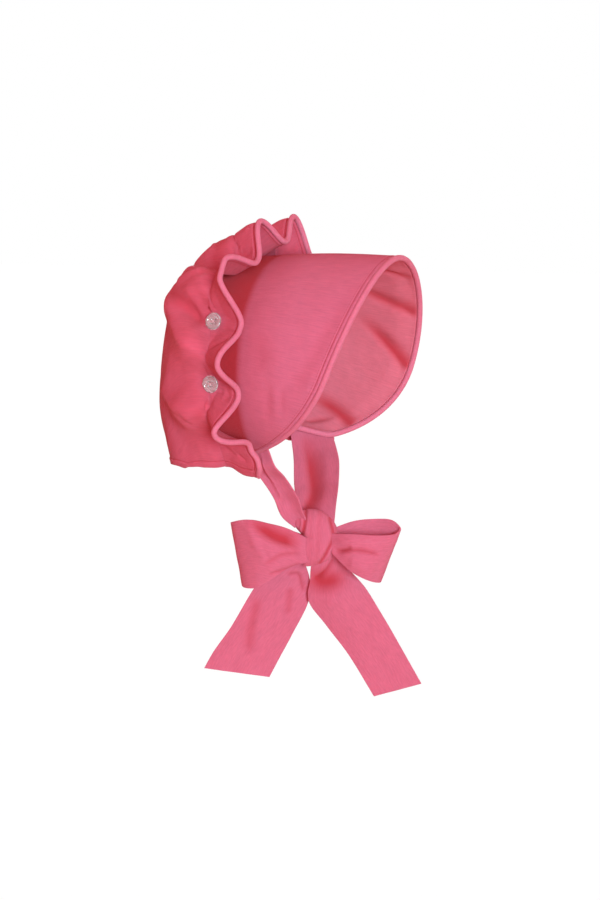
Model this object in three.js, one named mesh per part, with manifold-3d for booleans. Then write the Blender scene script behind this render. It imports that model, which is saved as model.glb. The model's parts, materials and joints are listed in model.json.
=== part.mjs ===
// A baby's sunbonnet: a stiff lined brim, a soft crown buttoned on over it, and two ties in a bow.
// Millimetres, +Z up. The face looks along -Y, the wearer's right is -X, and the origin is the
// place inside the top, on the button line, where the bonnet sits on the head.
// "Around" runs from 0 at the top centre to 1 or -1 at the lower corner on the left or right.
import * as THREE from "three";
import { mergeVertices } from "three/addons/utils/BufferGeometryUtils.js";
import Module from "manifold-3d";

const wasm = await Module();
wasm.setup();

// Cloth walls, and the clearance between pieces
const GAP = 0.35;
const CROWN_CLEARANCE = 0.9;
const BRIM_WALL = 1.6;
const LINING_WALL = 1.0;
const CROWN_WALL = 1.2;
const TIE_WALL = 1.4;

// Covered cords along the two edges
const BRIM_PIPING_RADIUS = 2.2;
const RUFFLE_PIPING_RADIUS = 2.1;
const PIPING_SIDES = 4;

// Half outlines of the brim, as Bezier handles from the top centre to the lower corner
const BRIM_BACK_EDGE = [
  { out: 0, back: 7, up: 3 },
  { out: 43, back: 7, up: 3 },
  { out: 76, back: 7, up: -35 },
  { out: 76, back: 7, up: -78 },
  { out: 76, back: 7, up: -108 },
  { out: 62, back: 7, up: -135 },
  { out: 46, back: 7, up: -139 },
];
// The wearer's right front edge runs straighter down to its corner than the left one
const BRIM_FRONT_LEFT = [
  { out: 0, back: -116, up: 6 },
  { out: 40, back: -116, up: 6 },
  { out: 77, back: -109, up: -37 },
  { out: 77, back: -96, up: -80 },
  { out: 77, back: -84, up: -120 },
  { out: 62, back: -44, up: -141 },
  { out: 42, back: -10, up: -139 },
];
const BRIM_FRONT_RIGHT = [
  { out: 0, back: -116, up: 6 },
  { out: 40, back: -116, up: 6 },
  { out: 77, back: -108, up: -38 },
  { out: 76, back: -90, up: -80 },
  { out: 75, back: -76, up: -112 },
  { out: 60, back: -45, up: -133 },
  { out: 41, back: -14, up: -141 },
];
const BRIM_BULGE = 2.5;
const BRIM_MIDDLE = 80;
const BUTTON_LINE = 7;

// The crown as hoops over the head, from the button line back to the nape hem
const CROWN_HOOPS = [
  { topBack: 0, topUp: 3, halfWidth: 76, widest: 0.48, endOut: 52, endBack: -2, endUp: -148 },
  { topBack: 17, topUp: 7, halfWidth: 79, widest: 0.48, endOut: 58, endBack: 3, endUp: -149 },
  { topBack: 35, topUp: 1.5, halfWidth: 77, widest: 0.46, endOut: 61, endBack: 8, endUp: -149 },
  { topBack: 49, topUp: -15, halfWidth: 73, widest: 0.42, endOut: 62, endBack: 13, endUp: -149 },
  { topBack: 58, topUp: -46, halfWidth: 69, widest: 0.36, endOut: 63, endBack: 17, endUp: -149 },
  { topBack: 62, topUp: -86, halfWidth: 67, widest: 0.28, endOut: 63, endBack: 21, endUp: -149 },
  { topBack: 57, topUp: -121, halfWidth: 65, widest: 0.2, endOut: 63, endBack: 24, endUp: -149 },
  { topBack: 50, topUp: -149, halfWidth: 63, widest: 0.12, endOut: 62, endBack: 27, endUp: -149 },
];

// The ruffle from the top centre down: buttoned places alternate with standing waves.
// Lift is the cloth's height on the button line, hold the length ahead of it that lies down with
// it, flare the slope of the rest, depth the whole length ahead and reach how far back it fades
const RUFFLE = [
  { around: 0, lift: 1.1, flare: 18, hold: 7.5, depth: 26, reach: 40, button: true },
  { around: 0.104, lift: 19, liftLeft: 22, flare: 28, hold: 0, depth: 22, reach: 52 },
  { around: 0.205, lift: 1.1, flare: 20, hold: 7.5, depth: 26, reach: 40, button: true },
  { around: 0.312, lift: 17, flare: 46, hold: 3, depth: 26, reach: 52 },
  { around: 0.352, lift: 16, flare: 46, hold: 3, depth: 26, reach: 56 },
  { around: 0.438, lift: 1.1, flare: 10, hold: 7.5, depth: 26, reach: 60, button: true },
  { around: 0.567, lift: 10.5, flare: 36, hold: 4, depth: 26, reach: 62 },
  { around: 0.658, lift: 1.1, flare: 11, hold: 7.5, depth: 26, reach: 60, button: true },
  { around: 0.757, lift: 13.5, flare: 48, hold: 4, depth: 26, reach: 56 },
  { around: 0.88, lift: 3, flare: 10, hold: 7.5, depth: 26, reach: 40 },
  { around: 1, lift: 1.1, flare: 4, hold: 7.5, depth: 26, reach: 40 },
];
const PINCH = 1.2;
const FOLD_START = 14;

// Folds of the crown on each side, from one place to another, each a place around and a distance
// behind the button line; a fold rises to an edge that is steep below it and soft above
const CROWN_FOLDS = [
  { from: [0.29, 48], to: [0.571, 5], rise: 6.5, steep: 7, soft: 10 },
  { from: [0.57, 58], to: [0.813, 14], rise: 4, steep: 7, soft: 14 },
  { from: [0.313, 44], to: [0.446, 8], rise: -3.5, steep: 8, soft: 9 },
  { from: [0.571, 5], to: [0.463, -21], rise: -1.2, steep: 4, soft: 6 },
  { from: [0.813, 14], to: [0.69, 2], rise: -2, steep: 5, soft: 8 },
  { from: [0.07, 30], to: [0.15, 42], rise: -4.5, steep: 14, soft: 14 },
];

// Clear buttons
const BUTTON_RADIUS = 6.35;
const BUTTON_THICKNESS = 2.6;
const BUTTON_RIM = 1.6;
const BUTTON_DISH = 0.9;
const BUTTON_BEHIND = -3.5;
const BUTTON_EDGE = 0.3;
const BUTTON_SHOULDER = 0.8;

// The bow, in a frame of its own: right and up as it is seen, and toward the viewer
const BOW_CENTRE = new THREE.Vector3(0, -54.6, -207.5);
const BOW_TURN = THREE.MathUtils.degToRad(-65);
const KNOT = { right: 13.6, up: 22, toward: 10 };

// Each strap is a row of sections, each with one edge (a) and the other (b)
const TIE_LEFT = [
  { a: [-21.6, 67, -59], b: [10.4, 68.8, -59.3], sag: 0 },
  { a: [-20.9, 62, -50.5], b: [13.4, 62, -49], sag: -1 },
  { a: [-20, 54, -43], b: [15.1, 54, -40], sag: -2 },
  { a: [-19.5, 37, -27], b: [14.5, 37, -25], sag: -3 },
  { a: [-12, 25, -14], b: [12.5, 24, -13], sag: -2 },
  { a: [-6, 12, -6], b: [11, 10, -6], sag: 0 },
];
const TIE_RIGHT = [
  { a: [-55, 67.5, 24], b: [-39, 68.5, 37.5], sag: 0 },
  { a: [-52, 58, 22], b: [-33, 59, 30], sag: -2 },
  { a: [-45.6, 49.2, 18], b: [-26, 49.5, 22], sag: -3 },
  { a: [-35, 32.6, 13], b: [-17, 34, 15], sag: -4 },
  { a: [-28.5, 17, 8], b: [-13, 21, 9], sag: -3 },
  { a: [-19, 8, 3], b: [-9, 10, 3], sag: -2 },
];
const LOOP_FRONT = [
  { a: [9, 4, 6], b: [9, -8, 6], sag: 0 },
  { a: [24, 4.5, 12], b: [25, -21, 13], sag: 2 },
  { a: [43, 3.5, 12], b: [37, -31, 12], sag: 2 },
  { a: [57, 4, 6], b: [44.5, -33.5, 6], sag: 1 },
  { a: [61, 7, 0], b: [46, -33, 0], sag: 0 },
  { a: [55, 12.5, -5], b: [42, -30, -6], sag: 1 },
  { a: [41, 12.9, -9], b: [32, -26, -9], sag: 2 },
  { a: [26, 11.4, -8], b: [22, -19, -8], sag: 1 },
  { a: [9, 6, -4], b: [9, -7, -4], sag: 0 },
];
const LOOP_BACK = [
  { a: [-9, 0, 6], b: [-9, -17, 6], sag: 0 },
  { a: [-24, 9, 12], b: [-24, -22, 12], sag: 3 },
  { a: [-39, 13, 13], b: [-36, -29, 13], sag: 3 },
  { a: [-54, 15.5, 11], b: [-48, -36.5, 11], sag: 1 },
  { a: [-65, 13, 4], b: [-57, -37.5, 4], sag: 0 },
  { a: [-67, 11, -2], b: [-58.5, -36, -2], sag: 0 },
  { a: [-59, 9, -7], b: [-54, -33, -7], sag: 1 },
  { a: [-40, 8, -9], b: [-38, -27, -9], sag: 2 },
  { a: [-24, 5, -8], b: [-24, -20, -8], sag: 1 },
  { a: [-9, 0, -4], b: [-9, -14, -4], sag: 0 },
];
const TAIL_BACK = [
  { a: [-17, -8, -8], b: [-13, -17.5, -8], sag: 0 },
  { a: [-36, -24, -14], b: [-8, -33, -14], sag: 3 },
  { a: [-49, -40, -15], b: [-8.3, -50.7, -15], sag: 3 },
  { a: [-68.5, -72, -11], b: [-21.2, -77.2, -12], sag: 2 },
  { a: [-81.5, -90, -8], b: [-31, -95.4, -10], sag: 1 },
  { a: [-88.5, -102.5, -7], b: [-38.6, -110, -9], sag: 0 },
];
const TAIL_FRONT = [
  { a: [-6, -16, -4], b: [9, -13, -4], sag: 0 },
  { a: [-8, -34, -8], b: [21.2, -25, -8], sag: 4 },
  { a: [-8.3, -50.7, -9], b: [34, -39.4, -9], sag: 5 },
  { a: [5.3, -69.6, -8], b: [47, -60, -8], sag: 4 },
  { a: [22, -91.6, -6], b: [61, -84, -6], sag: 2 },
  { a: [41.6, -124, -4], b: [78, -114, -4], sag: 0 },
];

// Mesh fineness of each piece: steps along and across
const FINENESS = {
  brim: { along: 36, across: 6 },
  lining: { along: 32, across: 5 },
  crown: { along: 80, across: 16 },
  strap: { along: 12, across: 3 },
  loop: { along: 22, across: 4 },
  piping: 64,
  rufflePiping: 84,
  button: 14,
  knot: { around: 24, over: 14 },
};

// Bezier handles of a hoop: shares of its width, and of the way to its widest and its lower end
const HOOP_HANDLES = { top: 0.57, shoulder: 0.44, waist: 0.4, end: 0.74, endOut: 0.5 };

// Where the ruffle leaves the brim and hangs straight, as places around
const HANGING = [0.7, 0.9];

// The longest reach of a wave and the spread of the crown's rows, as shares of its length
const LONGEST_REACH = 0.6;
const ROW_SPREAD = 1.4;

// A fold fades in and out between these shares of its length
const FOLD_FADE_IN = [-0.25, 0.1];
const FOLD_FADE_OUT = [0.75, 1.15];

// Clearances of the lining and the cords, in gaps
const LINING_GAPS = 1.4;
const BRIM_CORD_GAPS = 2;
const RUFFLE_CORD_GAPS = 2.5;

// Small steps by which slopes are measured, and how near an edge they may come
const STEP_AROUND = 0.004;
const STEP_BEHIND = 0.5;
const STEP_FORTH = 0.02;
const STEP_ALONG_EDGE = 0.01;
const INSIDE_EDGE = 0.995;
const NEAR_FRONT = 0.97;
const WELD = 1e-4;

// Finishes
const PINK = { color: 0xe0607a, roughness: 0.85, metalness: 0 };
const LINING_PINK = { color: 0xe07c88, roughness: 0.85, metalness: 0 };
const PIPING_PINK = { color: 0xe4688c, roughness: 0.8, metalness: 0 };
const CLEAR = { color: 0xf0dcdc, roughness: 0.15, metalness: 0, transparent: true, opacity: 0.6 };

const FORWARD = new THREE.Vector3(0, -1, 0);
const vector = (p) => new THREE.Vector3(p.out, p.back, p.up);

// A half outline through Bezier handles, three to each stretch
function outlineOf(handles) {
  const path = new THREE.CurvePath();
  for (let i = 0; i + 3 < handles.length; i += 3) {
    path.add(new THREE.CubicBezierCurve3(...handles.slice(i, i + 4).map(vector)));
  }
  return path;
}

// The point of a half outline at a place around, on the side that the place's sign names
function onOutline(path, around) {
  const p = path.getPointAt(Math.min(Math.abs(around), 1));
  return p.setX(p.x * Math.sign(around));
}

// A point at even steps of a table's rows, eased so that it passes through every row
function blendRows(rows, place, read) {
  const last = rows.length - 1;
  const i = Math.min(Math.floor(place), last - 1);
  const f = place - i;
  const row = (k) => read(rows[THREE.MathUtils.clamp(k, 0, last)]);
  const [p0, p1, p2, p3] = [row(i - 1), row(i), row(i + 1), row(i + 2)];
  const slope1 = (p2 - p0) / 2;
  const slope2 = (p3 - p1) / 2;
  return (
    p1 * (1 - f) ** 2 * (1 + 2 * f) + p2 * f ** 2 * (3 - 2 * f) +
    slope1 * f * (1 - f) ** 2 - slope2 * f ** 2 * (1 - f)
  );
}

const brimBack = outlineOf(BRIM_BACK_EDGE);
const brimFrontLeft = outlineOf(BRIM_FRONT_LEFT);
const brimFrontRight = outlineOf(BRIM_FRONT_RIGHT);
const brimFrontAt = (around) => onOutline(around < 0 ? brimFrontRight : brimFrontLeft, around);

// The brim's outer face: forth is 0 at its back edge and 1 at its front edge
function brimFace(around, forth) {
  const back = onOutline(brimBack, around);
  const front = brimFrontAt(around);
  const bulge = BRIM_BULGE * Math.sin(Math.PI * forth) * (1 - around ** 4);
  const out = new THREE.Vector3(back.x, 0, back.z + BRIM_MIDDLE).normalize();
  return back.lerp(front, forth).addScaledVector(out, bulge);
}

// One hoop of the crown as a half outline
function hoopOf(row) {
  const { halfWidth, endOut } = row;
  const top = { back: row.topBack, up: row.topUp };
  const end = { back: row.endBack, up: row.endUp };
  const widest = 1 - row.widest;
  const below = (share) => THREE.MathUtils.lerp(widest, 1, share);
  const between = (f) => ({
    back: THREE.MathUtils.lerp(top.back, end.back, f),
    up: THREE.MathUtils.lerp(top.up, end.up, f),
  });
  return outlineOf([
    { out: 0, ...top },
    { out: halfWidth * HOOP_HANDLES.top, ...top },
    { out: halfWidth, ...between(widest * HOOP_HANDLES.shoulder) },
    { out: halfWidth, ...between(widest) },
    { out: halfWidth, ...between(below(HOOP_HANDLES.waist)) },
    { out: THREE.MathUtils.lerp(endOut, halfWidth, HOOP_HANDLES.endOut), ...between(below(HOOP_HANDLES.end)) },
    { out: endOut, ...end },
  ]);
}

const crownHoops = CROWN_HOOPS.map(hoopOf);

// A line of the crown from the button line back to the hem, kept because it is asked for often
const meridians = new Map();
function meridianAt(around) {
  const key = around.toFixed(5);
  if (!meridians.has(key)) {
    const points = crownHoops.map((hoop) => onOutline(hoop, around));
    meridians.set(key, new THREE.CatmullRomCurve3(points, false, "centripetal"));
  }
  return meridians.get(key);
}

// The crown's base: behind the button line on the hoops, ahead of it along the brim's ribs
function crownBase(around, behind) {
  const meridian = meridianAt(around);
  if (behind >= 0) return meridian.getPointAt(Math.min(behind / meridian.getLength(), 1));
  const rib = brimFrontAt(around).distanceTo(onOutline(brimBack, around));
  const overBrim = brimFace(around, (BUTTON_LINE - behind) / rib).sub(brimFace(around, BUTTON_LINE / rib));
  const straight = FORWARD.clone().multiplyScalar(-behind);
  const hanging = THREE.MathUtils.smoothstep(Math.abs(around), ...HANGING);
  return meridian.getPoint(0).add(overBrim.lerp(straight, hanging));
}

// How the ruffle stands at a place around
function ruffleAt(around) {
  const place = Math.abs(around);
  const next = Math.max(RUFFLE.findIndex((row) => row.around >= place), 1);
  const [from, to] = [RUFFLE[next - 1], RUFFLE[next]];
  const f = (place - from.around) / (to.around - from.around);
  const ease = (1 - Math.cos(Math.PI * f)) / 2;
  const pinched = to.lift > from.lift ? ease ** PINCH : 1 - (1 - ease) ** PINCH;
  const blend = (read) => THREE.MathUtils.lerp(read(from), read(to), pinched);
  return {
    lift: blend((row) => (around > 0 && row.liftLeft) || row.lift),
    flare: THREE.MathUtils.degToRad(blend((row) => row.flare)),
    hold: blend((row) => row.hold),
    depth: blend((row) => row.depth),
    reach: Math.min(blend((row) => row.reach), meridianAt(around).getLength() * LONGEST_REACH),
  };
}

// The unit normal of a face, out of the bonnet, from two small steps
function normalOf(face, u, v, stepU, stepV) {
  const alongU = face(u + stepU, v).sub(face(u - stepU, v));
  const alongV = face(u, v + stepV).sub(face(u, v - stepV));
  return alongU.cross(alongV).normalize();
}

// A fold's own frame on one side: its start, its run, its length and the way across it
function foldFrame(fold, side) {
  const start = crownBase(side * fold.from[0], fold.from[1]);
  const end = crownBase(side * fold.to[0], fold.to[1]);
  const middle = [(fold.from[0] + fold.to[0]) / 2, (fold.from[1] + fold.to[1]) / 2];
  const normal = normalOf(crownBase, side * middle[0], middle[1], STEP_AROUND, STEP_BEHIND);
  const run = end.clone().sub(start);
  const across = run.clone().cross(normal).normalize().multiplyScalar(side);
  return { ...fold, side, start, run: run.clone().normalize(), length: run.length(), across };
}
const foldFrames = CROWN_FOLDS.flatMap((fold) => [foldFrame(fold, -1), foldFrame(fold, 1)]);

// How far the folds raise the crown at a point of its base
function foldRaise(point, around) {
  let raise = 0;
  for (const fold of foldFrames) {
    if (fold.side * around < 0) continue;
    const offset = point.clone().sub(fold.start);
    const along = offset.dot(fold.run) / fold.length;
    const aside = offset.dot(fold.across);
    const fadedIn = THREE.MathUtils.smoothstep(along, ...FOLD_FADE_IN);
    const fadedOut = THREE.MathUtils.smoothstep(along, ...FOLD_FADE_OUT);
    const spread = aside < 0 ? fold.steep : fold.soft;
    raise += fold.rise * fadedIn * (1 - fadedOut) * Math.exp(-((aside / spread) ** 2));
  }
  return raise;
}

// The crown's middle: behind is the cloth's distance back from the button line
function crownCloth(around, behind) {
  const { lift, flare, hold, depth, reach } = ruffleAt(around);
  const ahead = Math.max(-behind, 0);
  const fade = 1 - THREE.MathUtils.smoothstep(behind, 0, reach);
  const free = Math.max(ahead - hold, 0) * (depth / (depth - hold));
  const rest = CROWN_WALL / 2 + CROWN_CLEARANCE;
  const raise = rest + (lift - RUFFLE[0].lift) * fade + free * Math.sin(flare);
  const base = behind > 0 ? behind : -ahead * Math.cos(flare);
  const inside = Math.sign(around) * Math.min(Math.abs(around), INSIDE_EDGE);
  const normal = normalOf(crownBase, inside, base, STEP_AROUND, STEP_BEHIND);
  const point = crownBase(around, base);
  const clear = THREE.MathUtils.smoothstep(behind, 0, FOLD_START);
  return point.clone().addScaledVector(normal, raise + foldRaise(point, around) * clear);
}

// A closed wall of even thickness about a grid of points on its middle
function wallOf(face, along, across, thickness) {
  const grid = [];
  for (let i = 0; i <= along; i++) {
    for (let j = 0; j <= across; j++) grid.push(face(i / along, j / across));
  }
  const at = (i, j) =>
    grid[THREE.MathUtils.clamp(i, 0, along) * (across + 1) + THREE.MathUtils.clamp(j, 0, across)];
  const outer = [];
  const inner = [];
  for (let i = 0; i <= along; i++) {
    for (let j = 0; j <= across; j++) {
      const alongI = at(i + 1, j).clone().sub(at(i - 1, j));
      const alongJ = at(i, j + 1).clone().sub(at(i, j - 1));
      const half = alongI.cross(alongJ).normalize().multiplyScalar(thickness / 2);
      outer.push(at(i, j).clone().add(half));
      inner.push(at(i, j).clone().sub(half));
    }
  }
  const count = outer.length;
  const id = (i, j) => i * (across + 1) + j;
  const index = [];
  const quad = (a, b, c, d) => index.push(a, b, c, a, c, d);
  for (let i = 0; i < along; i++) {
    for (let j = 0; j < across; j++) {
      const [a, b, c, d] = [id(i, j), id(i + 1, j), id(i + 1, j + 1), id(i, j + 1)];
      quad(a, b, c, d);
      quad(count + d, count + c, count + b, count + a);
    }
  }
  const edge = (a, b) => quad(b, a, count + a, count + b);
  for (let i = 0; i < along; i++) {
    edge(id(i, 0), id(i + 1, 0));
    edge(id(i + 1, across), id(i, across));
  }
  for (let j = 0; j < across; j++) {
    edge(id(0, j + 1), id(0, j));
    edge(id(along, j), id(along, j + 1));
  }
  const geometry = new THREE.BufferGeometry();
  const positions = [...outer, ...inner].flatMap((p) => p.toArray());
  geometry.setAttribute("position", new THREE.Float32BufferAttribute(positions, 3));
  geometry.setIndex(index);
  return geometry;
}

// A solid of a closed geometry, and a geometry of a solid's largest body
function solidOf(geometry) {
  const bare = geometry.clone();
  bare.deleteAttribute("normal");
  bare.deleteAttribute("uv");
  const merged = mergeVertices(bare, WELD);
  return new wasm.Manifold(
    new wasm.Mesh({
      numProp: 3,
      vertProperties: merged.attributes.position.array,
      triVerts: new Uint32Array(merged.index.array),
    }),
  );
}

function geometryOf(solid) {
  const bodies = solid.decompose().sort((a, b) => b.volume() - a.volume());
  const mesh = bodies[0].getMesh();
  const geometry = new THREE.BufferGeometry();
  geometry.setAttribute("position", new THREE.Float32BufferAttribute(mesh.vertProperties, mesh.numProp));
  geometry.setIndex([...mesh.triVerts]);
  return geometry;
}

// A round cord along a row of points
function cordAlong(points, radius, steps) {
  const section = new THREE.Shape();
  section.absarc(0, 0, radius, 0, Math.PI * 2);
  return new THREE.ExtrudeGeometry(section, {
    steps,
    curveSegments: PIPING_SIDES,
    bevelEnabled: false,
    extrudePath: new THREE.CatmullRomCurve3(points, false, "centripetal"),
  });
}

// Even places around, from the right lower corner over the top to the left one
const placesAround = (count) => Array.from({ length: count + 1 }, (_, i) => (2 * i) / count - 1);

const toAround = (share) => 2 * share - 1;

// A point at a depth inside the brim's outer face
function insideBrim(around, forth, depth) {
  const kept = around * INSIDE_EDGE;
  const held = THREE.MathUtils.clamp(forth, STEP_FORTH, 1 - STEP_FORTH);
  const inward = normalOf(brimFace, kept, held, STEP_AROUND, STEP_FORTH);
  return brimFace(kept, forth).addScaledVector(inward, depth);
}

function makeBrim() {
  const middle = (u, v) => insideBrim(toAround(u), v, BRIM_WALL / 2);
  return wallOf(middle, FINENESS.brim.along, FINENESS.brim.across, BRIM_WALL);
}

function makeLining() {
  const depth = BRIM_WALL + LINING_GAPS * GAP + LINING_WALL / 2;
  const middle = (u, v) => insideBrim(toAround(u), v, depth);
  return wallOf(middle, FINENESS.lining.along, FINENESS.lining.across, LINING_WALL);
}

function makeBrimPiping() {
  const depth = (BRIM_WALL + GAP + LINING_WALL) / 2;
  const points = placesAround(FINENESS.piping).map((around) => {
    const edge = insideBrim(around, 1, depth);
    const next = insideBrim(around + STEP_ALONG_EDGE, 1, depth);
    const run = next.sub(insideBrim(around - STEP_ALONG_EDGE, 1, depth)).normalize();
    const forward = edge.clone().sub(insideBrim(around, NEAR_FRONT, depth));
    forward.addScaledVector(run, -forward.dot(run)).normalize();
    return edge.addScaledVector(forward, BRIM_PIPING_RADIUS + BRIM_CORD_GAPS * GAP);
  });
  return cordAlong(points, BRIM_PIPING_RADIUS, FINENESS.piping);
}

// Share 0 of the crown's length is the ruffle's edge and share 1 the nape hem
const FLAP_SHARE = 0.2;

function crownMiddle(u, v) {
  const around = toAround(u);
  const length = meridianAt(around).getLength();
  const behind = v < FLAP_SHARE
    ? ruffleAt(around).depth * (v / FLAP_SHARE - 1)
    : length * ((v - FLAP_SHARE) / (1 - FLAP_SHARE)) ** ROW_SPREAD;
  return crownCloth(around, behind);
}

function makeCrown() {
  return wallOf(crownMiddle, FINENESS.crown.along, FINENESS.crown.across, CROWN_WALL);
}

function makeRufflePiping() {
  const points = placesAround(FINENESS.rufflePiping).map((around) => {
    const { depth } = ruffleAt(around);
    const edge = crownCloth(around, -depth);
    const forward = edge.clone().sub(crownCloth(around, 1 - depth)).normalize();
    return edge.addScaledVector(forward, RUFFLE_PIPING_RADIUS + RUFFLE_CORD_GAPS * GAP);
  });
  return cordAlong(points, RUFFLE_PIPING_RADIUS, FINENESS.rufflePiping);
}

// A dished disc with a rounded rim, its axis along +Z and its foot at 0
function buttonDisc() {
  const r = BUTTON_RADIUS;
  const t = BUTTON_THICKNESS;
  const profile = [
    [0, 0],
    [r * 0.7, 0],
    [r * 0.93, t * 0.3],
    [r, t * 0.6],
    [r - BUTTON_EDGE, t * 0.9],
    [r - BUTTON_SHOULDER, t],
    [r - BUTTON_RIM, t - BUTTON_DISH * 0.5],
    [r * 0.5, t - BUTTON_DISH],
    [0, t - BUTTON_DISH],
  ].map(([x, y]) => new THREE.Vector2(x, y));
  return new THREE.LatheGeometry(profile, FINENESS.button).rotateX(Math.PI / 2);
}

function buttonPlaces() {
  const places = RUFFLE.filter((row) => row.button).map((row) => row.around);
  return [...places.slice(1).map((place) => -place).reverse(), ...places];
}

// Where a button lies: square to the cloth under it, and clear of the highest cloth at its rim
function buttonSeat(around) {
  const reach = BUTTON_RADIUS / brimBack.getLength();
  const normal = normalOf(crownCloth, around, BUTTON_BEHIND, reach, BUTTON_RADIUS);
  const centre = crownCloth(around, BUTTON_BEHIND);
  let highest = 0;
  for (let i = 0; i < FINENESS.button; i++) {
    const turn = (2 * Math.PI * i) / FINENESS.button;
    const behind = BUTTON_BEHIND + BUTTON_RADIUS * Math.sin(turn);
    const rim = crownCloth(around + reach * Math.cos(turn), behind).sub(centre);
    highest = Math.max(highest, rim.dot(normal));
  }
  return { foot: centre.addScaledVector(normal, highest + CROWN_WALL / 2 + GAP), normal };
}

// A point of the bow's own frame, in the bonnet's frame
const BOW_RIGHT = new THREE.Vector3(Math.cos(BOW_TURN), Math.sin(BOW_TURN), 0);
const BOW_TOWARD = new THREE.Vector3(Math.sin(BOW_TURN), -Math.cos(BOW_TURN), 0);
function bowPoint([right, up, toward]) {
  return BOW_CENTRE.clone()
    .addScaledVector(BOW_RIGHT, right)
    .addScaledVector(BOW_TOWARD, toward)
    .add(new THREE.Vector3(0, 0, up));
}

// A strap through its sections; sag bows its middle toward the viewer
function strapOf(rows, { along, across }) {
  const curve = (key) =>
    new THREE.CatmullRomCurve3(rows.map((row) => new THREE.Vector3(...row[key])), false, "centripetal");
  const [edgeA, edgeB] = [curve("a"), curve("b")];
  const middle = (u, v) => {
    const sag = blendRows(rows, u * (rows.length - 1), (row) => row.sag);
    const p = edgeA.getPoint(u).lerp(edgeB.getPoint(u), v);
    p.z += sag * Math.sin(Math.PI * v);
    return bowPoint(p.toArray());
  };
  return wallOf(middle, along, across, TIE_WALL);
}

// The knot as a rounded lump, larger by a margin where it cuts the straps
function knotLump(margin) {
  const lump = new THREE.SphereGeometry(1, FINENESS.knot.around, FINENESS.knot.over);
  lump.scale(KNOT.right + margin, KNOT.toward + margin, KNOT.up + margin);
  const turn = new THREE.Matrix4().makeRotationZ(BOW_TURN);
  return lump.applyMatrix4(turn).translate(...BOW_CENTRE.toArray());
}

const group = new THREE.Group();

function addPiece(name, geometry, finish) {
  const mesh = new THREE.Mesh(geometry, new THREE.MeshStandardMaterial(finish));
  mesh.name = name;
  group.add(mesh);
  return mesh;
}

addPiece("brim", makeBrim(), PINK);
addPiece("brim_lining", makeLining(), LINING_PINK);
addPiece("brim_piping", makeBrimPiping(), PIPING_PINK);
addPiece("crown", makeCrown(), PINK);
addPiece("ruffle_piping", makeRufflePiping(), PIPING_PINK);

buttonPlaces().forEach((around, i) => {
  const { foot, normal } = buttonSeat(around);
  const button = addPiece(`button_${i + 1}`, buttonDisc(), CLEAR);
  button.quaternion.setFromUnitVectors(new THREE.Vector3(0, 0, 1), normal);
  button.position.copy(foot);
});

addPiece("knot", knotLump(0), PINK);
const knotCutter = solidOf(knotLump(GAP));
const straps = {
  tie_left: [TIE_LEFT, FINENESS.strap],
  tie_right: [TIE_RIGHT, FINENESS.strap],
  bow_loop_front: [LOOP_FRONT, FINENESS.loop],
  bow_loop_back: [LOOP_BACK, FINENESS.loop],
  bow_tail_front: [TAIL_FRONT, FINENESS.strap],
  bow_tail_back: [TAIL_BACK, FINENESS.strap],
};
for (const [name, [rows, fineness]] of Object.entries(straps)) {
  const solid = solidOf(strapOf(rows, fineness));
  addPiece(name, geometryOf(solid.subtract(knotCutter)), PINK);
}

export default group;
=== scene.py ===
"""Looks of a baby's sunbonnet: brim, buttoned crown with a piped ruffle, and ties in a bow.

Shapes are worked out in millimetres, +Z up, with the face looking along -Y and the wearer's
right at -X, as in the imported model, and are scaled to metres when a mesh is made. "Around" is
0 at the top centre and 1 or -1 at the lower corner on the wearer's left or right.
"""

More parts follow.
